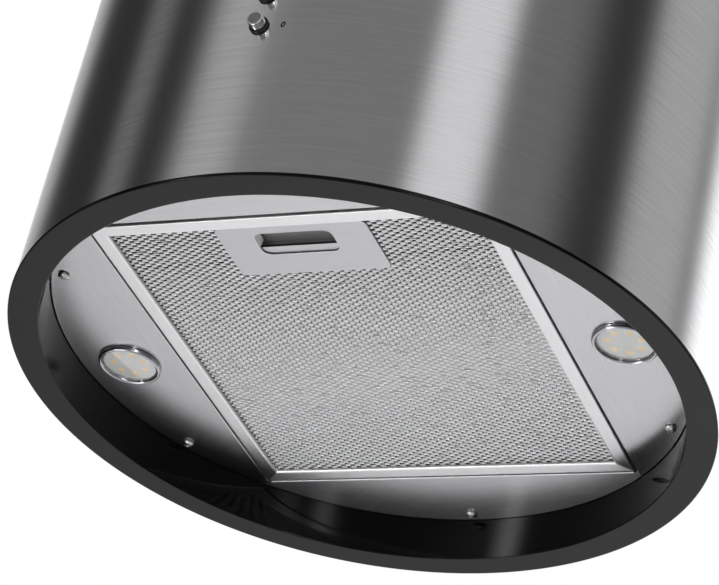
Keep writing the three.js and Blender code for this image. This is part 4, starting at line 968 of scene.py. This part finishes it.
def coil(low, high, wire, turns):
    """A wire wound in a box: with t going round `turns` times, centre + R (cos t, sin t) in x
    and z while y rises evenly, and round each such point a ring w (cos s outward, sin s in y)."""
    steps, sides = 16 * turns + 1, 8
    turn = np.linspace(0, 2 * math.pi * turns, steps)[:, None]
    round_wire = even_turn(sides)[None, :]
    reach = (high[0] - low[0]) / 2 - wire + wire * np.cos(round_wire)
    middle = (low + high) / 2
    rise = low[1] + wire + (high[1] - low[1] - 2 * wire) * turn / turn[-1]
    points = np.stack([
        middle[0] + reach * np.cos(turn), rise + wire * np.sin(round_wire),
        middle[2] + reach * np.sin(turn)], -1).reshape(-1, 3)
    ends = np.stack([np.arange(sides), len(points) - 1 - np.arange(sides)])
    return points, [grid_faces(steps, sides, close_columns=True), ends]


well_grey = painted("well_grey", grey(0.16), grey(0.20), (0.3, 0.4), 1.0)
well = [rounded_box(low, high, corner, 0.05) for low, high, corner in WELL_SHEETS.values()]
fit_piece("handle_well", well, "filter", well_grey)
cheek = mitred_bar(*CHEEK_ENDS, np.array(CHEEK_PROFILE))
fit_piece("well_cheek", [cheek], "filter", handle_aluminium)
dress(["filter_handle_cover"], black_plastic)
spring_low, spring_high = box_mm("latch_spring")
spring = fit_piece("return_spring", [coil(spring_low, spring_high, SPRING_WIRE, SPRING_TURNS)],
                   "filter", bright_steel, ["latch_spring"])
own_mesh(spring)


# ---------- lamps ----------
# Two round lamps pressed into the panel: a turned chrome bezel, a clear lens, and a white
# board with a ring of seven amber light-emitting chips.

BEAD_CIRCLE = 16.85
BEAD_HALF = 1.35
BEAD_BASE = 25.5
BEZEL_MOUTH = [(15.5, 26.4), (15.7, 26.5)]
BEZEL_COLLAR = (15.7, 16.6)
BEZEL_BACK = 26.0
BEZEL_RADIUS = 18.2
LENS_RADIUS = 15.4
CHIP_CIRCLE = 9.4
CHIP_HALF = 1.45
CHIP_HEIGHTS = (-0.28, 0.05)
CHIP_ANGLES = np.radians(-112.0 + 360.0 / 7 * np.arange(7))
BOARD_LOW = 26.95
BOARD_RIM = 28.4
HEAT_SINK_RADIUS = 14.2

chrome = brushed_metal("chrome", grey(0.50, 0.52), grey(0.58, 0.60), (200.0, 200.0, 200.0),
                       (0.14, 0.22), bump=0.02)


def clear_lens():
    """Clear moulded plastic with a faint green cast and a few fine scratches."""
    material, tree, shader = start_material("lamp_lens")
    scratches = place_group(
        tree, BRUSHING, Place=object_place(tree), Stretch=(300.0, 40.0, 40.0))["Streaks"]
    feed(tree, shader, {
        "Base Color": blended(tree, scratches, (0.97, 0.985, 0.975, 1), grey(1.0)),
        "Roughness": carried(tree, scratches, 0.0, 1.0, 0.01, 0.04),
        "Transmission Weight": 1.0, "IOR": 1.49})
    return material


def chip_phosphor():
    """The amber gel over each chip, uneven in colour and gloss. Its faint glow is painted light
    that stands in for the room's light scattered in the gel behind the lens.
    """
    material, tree, shader = start_material("chip_phosphor")
    grain = noise(tree, object_place(tree), GRIT_SCALE, 3.0, 0.6)
    feed(tree, shader, {
        "Base Color": blended(tree, grain, (0.95, 0.68, 0.34, 1), (1.0, 0.80, 0.48, 1)),
        "Roughness": carried(tree, grain, 0.3, 0.7, 0.3, 0.5),
        "Emission Color": (1.0, 0.62, 0.25, 1), "Emission Strength": 0.28})
    return material


lens_plastic, phosphor = clear_lens(), chip_phosphor()
board_white = painted("lamp_board_white", grey(0.90, 0.88), grey(0.95, 0.93), (0.4, 0.55), 0.4)
# The board's faint glow is painted light: it stands in for the room's light, which reaches the
# board through the lens.
feed(board_white.node_tree, board_white.node_tree.nodes["Principled BSDF"].inputs,
     {"Emission Color": grey(1.0, 0.97), "Emission Strength": 0.1})
for side, centre in zip(("left", "right"), lamp_centres):
    bezel_low, bezel_high = box_mm("lamp_bezel_" + side)
    lens_low, lens_high = box_mm("lamp_lens_" + side)
    module_high = box_mm("lamp_module_" + side)[1]
    bead = np.linspace(0, math.pi, 17)
    bezel_outline = [
        *zip(BEAD_CIRCLE + BEAD_HALF * np.cos(bead),
             BEAD_BASE + (bezel_low[2] - BEAD_BASE) * np.sin(bead)),
        *BEZEL_MOUTH, (BEZEL_COLLAR[0], bezel_high[2]), (BEZEL_COLLAR[1], bezel_high[2]),
        (BEZEL_COLLAR[1], BEZEL_BACK), (BEZEL_RADIUS, BEZEL_BACK)]
    lens = closed_round(
        [0, LENS_RADIUS - 0.9, LENS_RADIUS - 0.2, LENS_RADIUS, LENS_RADIUS, LENS_RADIUS - 0.2, 0],
        [lens_low[2]] * 3 + [lens_low[2] + 0.2, lens_high[2] - 0.2, lens_high[2], lens_high[2]],
        96, centre)
    board = closed_round(
        [0, LENS_RADIUS, LENS_RADIUS, HEAT_SINK_RADIUS, HEAT_SINK_RADIUS, 0],
        [BOARD_LOW, BOARD_LOW, BOARD_RIM, BOARD_RIM, module_high[2], module_high[2]], 96, centre)
    chips = []
    for angle in CHIP_ANGLES:
        x, y = centre + CHIP_CIRCLE * np.array([math.cos(angle), math.sin(angle)])
        low, high = ((x + end * CHIP_HALF, y + end * CHIP_HALF, BOARD_LOW + height)
                     for end, height in zip((-1, 1), CHIP_HEIGHTS))
        chips.append(rounded_box(low, high, 0.3, 0.08))
    fit_piece("lamp_ring_" + side, [turned(bezel_outline, 128, centre)], "hood", chrome,
              ["lamp_bezel_" + side])
    fit_piece("lamp_glass_" + side, [lens], "hood", lens_plastic, ["lamp_lens_" + side])
    fit_piece("lamp_board_" + side, [board], "hood", board_white,
              ["lamp_module_" + side])
    fit_piece("lamp_chips_" + side, chips, "hood", phosphor)


# ---------- push buttons ----------
# Five chromed caps on stems, each in a black bezel pressed into the tube: off, three speeds
# and the light. A moulded housing inside the tube holds their switches.

CAP_RADIUS = 4.3
CAP_BEVEL = 0.5
CAP_LENGTH = 6.5
STEM_RADIUS = 3.2
FACE_RADIUS = 3.7
MARK_SIDE = 13.3
MARK_LINE = 0.7
MARK_SLANT = 0.2
INK_THICKNESS = 0.03


def facing_front(solid, height):
    """A solid turned so that its axis points forward at a height: (x, y, z) to (x, -z, y + h)."""
    points, face_sets = solid
    return np.stack([points[:, 0], -points[:, 2], points[:, 1] + height], -1), face_sets


def arc(x, z, reach_x, reach_z, start, end, count):
    """Points round part of an ellipse, from one angle in degrees to another."""
    angle = np.radians(np.linspace(start, end, count))
    return np.stack([x + reach_x * np.cos(angle), z + reach_z * np.sin(angle)], -1)


def printed(line, centre, height, closed=False):
    """A printed line on the tube: a ribbon half a line's width to each side, wrapped round,
    x = r sin(s / R), y = -r cos(s / R), its inner face on the steel."""
    line = np.asarray(line, float) @ np.array([[1, 0], [MARK_SLANT, 1]])
    ahead, behind = np.roll(line, -1, axis=0), np.roll(line, 1, axis=0)
    if not closed:
        ahead[-1], behind[0] = line[-1], line[0]
    along = ahead - behind
    along /= np.linalg.norm(along, axis=1, keepdims=True)
    side = np.stack([-along[:, 1], along[:, 0]], -1) * MARK_LINE / 2
    points = []
    for flat, proud in [(line + side, 0.0), (line - side, 0.0),
                        (line - side, INK_THICKNESS), (line + side, INK_THICKNESS)]:
        angle, radius = (flat[:, 0] + centre) / tube_radius, tube_radius + proud
        points.append(np.stack(
            [radius * np.sin(angle), -radius * np.cos(angle), flat[:, 1] + height], -1))
    points = np.stack(points, 1).reshape(-1, 3)
    face_sets = [grid_faces(len(line), 4, close_rows=closed, close_columns=True)]
    if not closed:
        face_sets.append(np.array([[0, 1, 2, 3], np.arange(4)[::-1] + 4 * (len(line) - 1)]))
    return points, face_sets


MARKS = {
    "off": [(arc(0, 0, 0.85, 1.5, 0, 350, 36), True)],
    "speed_1": [([(-0.55, 0.85), (-0.2, 1.15), (0.1, 1.5), (0.1, 0), (0.1, -1.5)], False)],
    "speed_2": [([*arc(0, 0.6, 0.85, 0.9, 160, -35, 14), (-0.85, -1.45), (-0.8, -1.5),
                  (0.95, -1.5)], False)],
    "speed_3": [([*arc(0, 0.72, 0.8, 0.78, 150, -80, 14),
                  *arc(0, -0.7, 0.9, 0.8, 80, -150, 14)], False)],
    "light": [(arc(0, 0.35, 1.05, 1.15, -60, 240, 24), False),
              ([(-0.5, -1.1), (0, -1.1), (0.5, -1.1)], False),
              ([(-0.35, -1.6), (0, -1.6), (0.35, -1.6)], False)]}
button_chrome = brushed_metal("button_chrome", grey(0.90), grey(0.95), (300.0, 300.0, 300.0),
                              (0.04, 0.09), bump=0.02)
button_face = brushed_metal("button_face_satin", grey(0.22), grey(0.34),
                            (150.0, 150.0, 1800.0), (0.3, 0.42), bump=0.1)
print_black = painted("print_black", grey(0.006), grey(0.015), (0.5, 0.65), 0.2)
for name, height in zip(BUTTON_NAMES, button_heights):
    cap_low, cap_high = box_mm("button_" + name)
    face, stem = -cap_low[1], -cap_high[1]
    cap = closed_round(
        [0, FACE_RADIUS, FACE_RADIUS, CAP_RADIUS - CAP_BEVEL, CAP_RADIUS - 0.25,
         CAP_RADIUS - 0.08, CAP_RADIUS, CAP_RADIUS, STEM_RADIUS, STEM_RADIUS, 0],
        [face - 0.12, face - 0.12, face, face, face - 0.08, face - 0.25, face - CAP_BEVEL,
         face - CAP_LENGTH + 0.1, face - CAP_LENGTH, stem, stem], 64)
    disc = closed_round([0, FACE_RADIUS - 0.05, FACE_RADIUS - 0.05, 0],
                        [face - 0.05, face - 0.05, face - 0.1, face - 0.1], 64)
    bezel_low, bezel_high = box_mm("button_bezel_" + name)
    rim, root = -bezel_low[1], -bezel_high[1]
    bezel = turned(softened([
        (4.6, root), (5.1, root), (5.1, rim - 1.0), (5.4, rim - 1.0), (5.4, rim - 0.1),
        (4.5, rim - 0.1)], [0.15, 0.15, 0.1, 0.1, 0.6, 0.2], 5, 0.03), 64)
    mark = [printed(line, MARK_SIDE, height, closed) for line, closed in MARKS[name]]
    fit_piece("cap_" + name, [facing_front(cap, height)], "button_" + name, button_chrome,
              ["button_" + name])
    fit_piece("face_" + name, [facing_front(disc, height)], "button_" + name, button_face)
    fit_piece("bezel_" + name, [facing_front(bezel, height)], "hood", black_plastic,
              ["button_bezel_" + name])
    fit_piece("mark_" + name, mark, "hood", print_black)
dress(["switch_housing"], black_plastic)


# ---------- blower ----------
# A centrifugal blower hangs from a galvanised plate: its scroll housing, a moulded wheel on
# the motor's shaft, and the motor on a pressed bracket.

motor_paint = painted("motor_paint", grey(0.020, 0.022), grey(0.035, 0.037), (0.3, 0.45), 0.45)
white_plastic = painted("white_plastic", grey(0.70, 0.69), grey(0.78, 0.77), (0.32, 0.45), 0.45,
                        bump=0.1)
dress(["blower_plate", "blower_housing", "motor_bracket"], galvanised)
dress(["motor_body"], motor_paint)
dress(["motor_shaft", "flap_pin"], bright_steel)
dress(["impeller", "control_box", "lamp_driver", "motor_capacitor"], white_plastic)
dress(["outlet_collar", "damper_flap_front", "damper_flap_rear"], black_plastic)


# ---------- studio ----------
# A pale floor far below with a soft light on it, four panels of light below the hood, and a
# dark room round it with broad soft-edged panels of light, which is what the brushed tubes
# mirror. Each panel has the bearings of its two edges and their softness, in degrees, and its
# strength. None of it is part of the hood.

FLOOR_BELOW = 1.6
FLOOR_REACH = 16.0
FLOOR_DISH = 0.01
FLOOR_FADES = (3.0, 10.0)
FLOOR_OPENS = (4.9, 5.8)
FOOT = (0, 0, LOWER_EDGE)
ROOM_LIMIT = 1.9
ROOM_LIGHT = (1.99, 1.99, 2.015, 1)
ROOM_DIM = 0.08
FADE_GAIN = 2.47
CAMERA_PLACE = (0.70288, -1.30586, -1.73271)
CAMERA_RIGHT = (0.91281512, 0.35790122, 0.19666032)
CAMERA_UP = (0.04685964, -0.57018682, 0.82017752)
CAMERA_BACK = (0.40567566, -0.73945501, -0.53724626)
CAMERA_LENS = 159.93
ROOM_DARK = 0.04
ROOM_STEPS = 120
ROOM_PANELS = [
    (-220, -140, 6, 1.8), (-140, -117, 6, 0.5), (-81, -69, 3, 0.2), (-50, -30, 5, 0.3),
    (-50, 26, 5, 0.25), (28, 51, 4, 1.0), (52, 78, 7, 0.2), (102, 134, 4, 0.55),
    (143, 220, 5, 1.8)]


def mixed(tree, share, first, second):
    """Two shaders, mixed by the share of the second."""
    return add_node(tree, "ShaderNodeMixShader", {0: share, 1: first, 2: second}).outputs[0]


def plain_light(tree, kind, colour, strength):
    """A shader that only gives off light."""
    return add_node(tree, kind, {"Color": colour, "Strength": strength}).outputs[0]


def make_floor():
    """A gently dished sheet: height = lowest + dish (r / reach)^2, on rings round the middle.
    To the camera it gives off light of its own and turns white with distance. It is open from
    below, and far out it is open to reflections."""
    ring = np.linspace(0.02, FLOOR_REACH, 24)[:, None]
    turn = even_turn(64)[None, :]
    low = LOWER_EDGE - FLOOR_BELOW
    points = np.stack([
        ring * np.cos(turn), ring * np.sin(turn),
        np.broadcast_to(low + FLOOR_DISH * (ring / FLOOR_REACH) ** 2, (24, 64))], -1)
    sheet = bpy.data.meshes.new("floor")
    sheet.from_pydata(points.reshape(-1, 3).tolist(), [],
                      grid_faces(24, 64, close_columns=True).tolist() + [list(range(64))])
    sheet.update()
    floor = put_object("floor", sheet)
    material, tree, shader = start_material("floor_paint")
    smudge = place_group(tree, SMUDGES, Scale=0.8)["Mask"]
    feed(tree, shader, {
        "Base Color": blended(tree, smudge, grey(0.86, 0.87), grey(0.89, 0.90)),
        "Roughness": 0.8})
    far = add_node(tree, "ShaderNodeVectorMath", {0: object_place(tree)},
                   operation="LENGTH").outputs["Value"]
    white = carried(tree, far, *FLOOR_FADES, 0.0, 1.0)
    pale = plain_light(tree, "ShaderNodeEmission", blended(tree, white, grey(0.86), grey(1)), 1.0)
    ray = add_node(tree, "ShaderNodeLightPath").outputs
    seen = calculate(tree, "MULTIPLY", ray["Is Camera Ray"],
                     carried(tree, far, *FLOOR_FADES, 0.85, 1.0))
    paint = mixed(tree, seen, tree.nodes["Principled BSDF"].outputs[0], pale)
    mirrored = calculate(tree, "MULTIPLY", carried(tree, far, *FLOOR_OPENS, 0.0, 1.0),
                         ray["Is Glossy Ray"])
    below = add_node(tree, "ShaderNodeNewGeometry").outputs["Backfacing"]
    clear = add_node(tree, "ShaderNodeBsdfTransparent").outputs[0]
    opened = mixed(tree, calculate(tree, "MAXIMUM", mirrored, below), paint, clear)
    tree.links.new(opened, tree.nodes["Material Output"].inputs["Surface"])
    sheet.materials.append(material)


def make_room():
    """The surroundings: white to the camera, and to all else a light for each compass bearing
    b, atan2(x, -y). That is a dark room plus its panels, each from bearing c to d with edges w
    soft and of strength s: s / 2 * (tanh((b - c) / w) - tanh((b - d) / w)), up to a limit."""
    world = bpy.data.worlds.new("room")
    bpy.context.scene.world = world
    world.use_nodes = True
    tree = world.node_tree
    tree.nodes.clear()
    way = add_node(tree, "ShaderNodeTexCoord").outputs["Generated"]
    part = add_node(tree, "ShaderNodeSeparateXYZ", {0: way}).outputs
    bearing = calculate(tree, "ARCTAN2", part["X"], calculate(tree, "MULTIPLY", part["Y"], -1.0))
    along = calculate(tree, "MULTIPLY_ADD", bearing, 0.5 / math.pi, 0.5)
    curve = add_node(tree, "ShaderNodeFloatCurve", {"Value": along})
    bearings = np.linspace(-180, 180, ROOM_STEPS + 1)
    light = ROOM_DARK + sum(
        strength / 2 * (np.tanh((bearings - first) / soft) - np.tanh((bearings - last) / soft))
        for first, last, soft, strength in ROOM_PANELS)
    line = curve.mapping.curves[0]
    places = (bearings + 180) / 360
    heights = np.minimum(light, ROOM_LIMIT) / 2
    line.points[0].location, line.points[1].location = (0, heights[0]), (1, heights[-1])
    for place, height in zip(places[1:-1], heights[1:-1]):
        line.points.new(place, height)
    curve.mapping.update()
    kind, ray = "ShaderNodeBackground", add_node(tree, "ShaderNodeLightPath").outputs
    room = plain_light(tree, kind, blended(tree, curve.outputs[0], grey(0), ROOM_LIGHT), 1.0)
    dim = plain_light(tree, kind, grey(1), ROOM_DIM)
    lit = mixed(tree, ray["Is Diffuse Ray"], room, dim)
    shown = mixed(tree, ray["Is Camera Ray"], lit, plain_light(tree, kind, grey(1), 1.0))
    tree.links.new(shown, add_node(tree, "ShaderNodeOutputWorld").inputs["Surface"])


def add_light(name, place, size, power, mirrored, spread=180):
    """A soft rectangular light that the camera never sees. One that is mirrored in the metal
    faces the hood's foot and fades to its edges as sin(pi u) sin(pi v). Any other shines
    straight down."""
    lamp = bpy.data.lights.new(name, "AREA")
    lamp.shape, lamp.energy = "RECTANGLE", power
    lamp.size, lamp.size_y = size
    lamp.spread = math.radians(spread)
    lamp.color = (1.0, 1.0, 1.01)
    light = put_object(name, lamp)
    light.location = place
    light.visible_glossy, light.visible_camera = mirrored, False
    if mirrored:
        away = Vector(place) - Vector(FOOT)
        light.rotation_euler = away.to_track_quat("Z", "Y").to_euler()
        lamp.use_nodes = True
        tree = lamp.node_tree
        across = add_node(tree, "ShaderNodeNewGeometry").outputs["Parametric"]
        part = add_node(tree, "ShaderNodeSeparateXYZ", {0: across}).outputs
        share = 1.0
        for axis in ("X", "Y"):
            fade = calculate(tree, "SINE", calculate(tree, "MULTIPLY", part[axis], math.pi))
            share = calculate(tree, "MULTIPLY", fade, share)
        tree.links.new(calculate(tree, "MULTIPLY", share, FADE_GAIN),
                       tree.nodes["Emission"].inputs["Strength"])


def round_the_foot(bearing, down, distance):
    """A place seen from the hood's foot on a bearing b and at a slope d down, both in degrees:
    distance times (cos d sin b, -cos d cos b, -sin d)."""
    turn, dip = math.radians(bearing), math.radians(down)
    return (distance * math.cos(dip) * math.sin(turn), -distance * math.cos(dip) * math.cos(turn),
            LOWER_EDGE - distance * math.sin(dip))


make_floor()
make_room()
add_light("floor_light", (-0.6, 1.8, -0.45), (1.2, 1.2), 52, False)
add_light("strip_left", round_the_foot(-41, 30, 2.4), (0.62, 0.4), 0.09, True, 16)
add_light("strip_right", round_the_foot(31, 30, 2.4), (0.45, 0.4), 0.036, True, 16)
add_light("panel_below", round_the_foot(-53, 59, 1.5), (0.9, 0.9), 4, True)
add_light("panel_high", round_the_foot(40, 13, 2.4), (0.45, 0.6), 0.071, True, 20)

camera = put_object("camera", bpy.data.cameras.new("camera"))
camera.matrix_world = Matrix([*zip(CAMERA_RIGHT, CAMERA_UP, CAMERA_BACK, CAMERA_PLACE),
                              (0, 0, 0, 1)])
camera.data.lens = CAMERA_LENS
camera.data.clip_end = 100
bpy.context.scene.camera = camera
bpy.context.scene.view_settings.view_transform = "Standard"
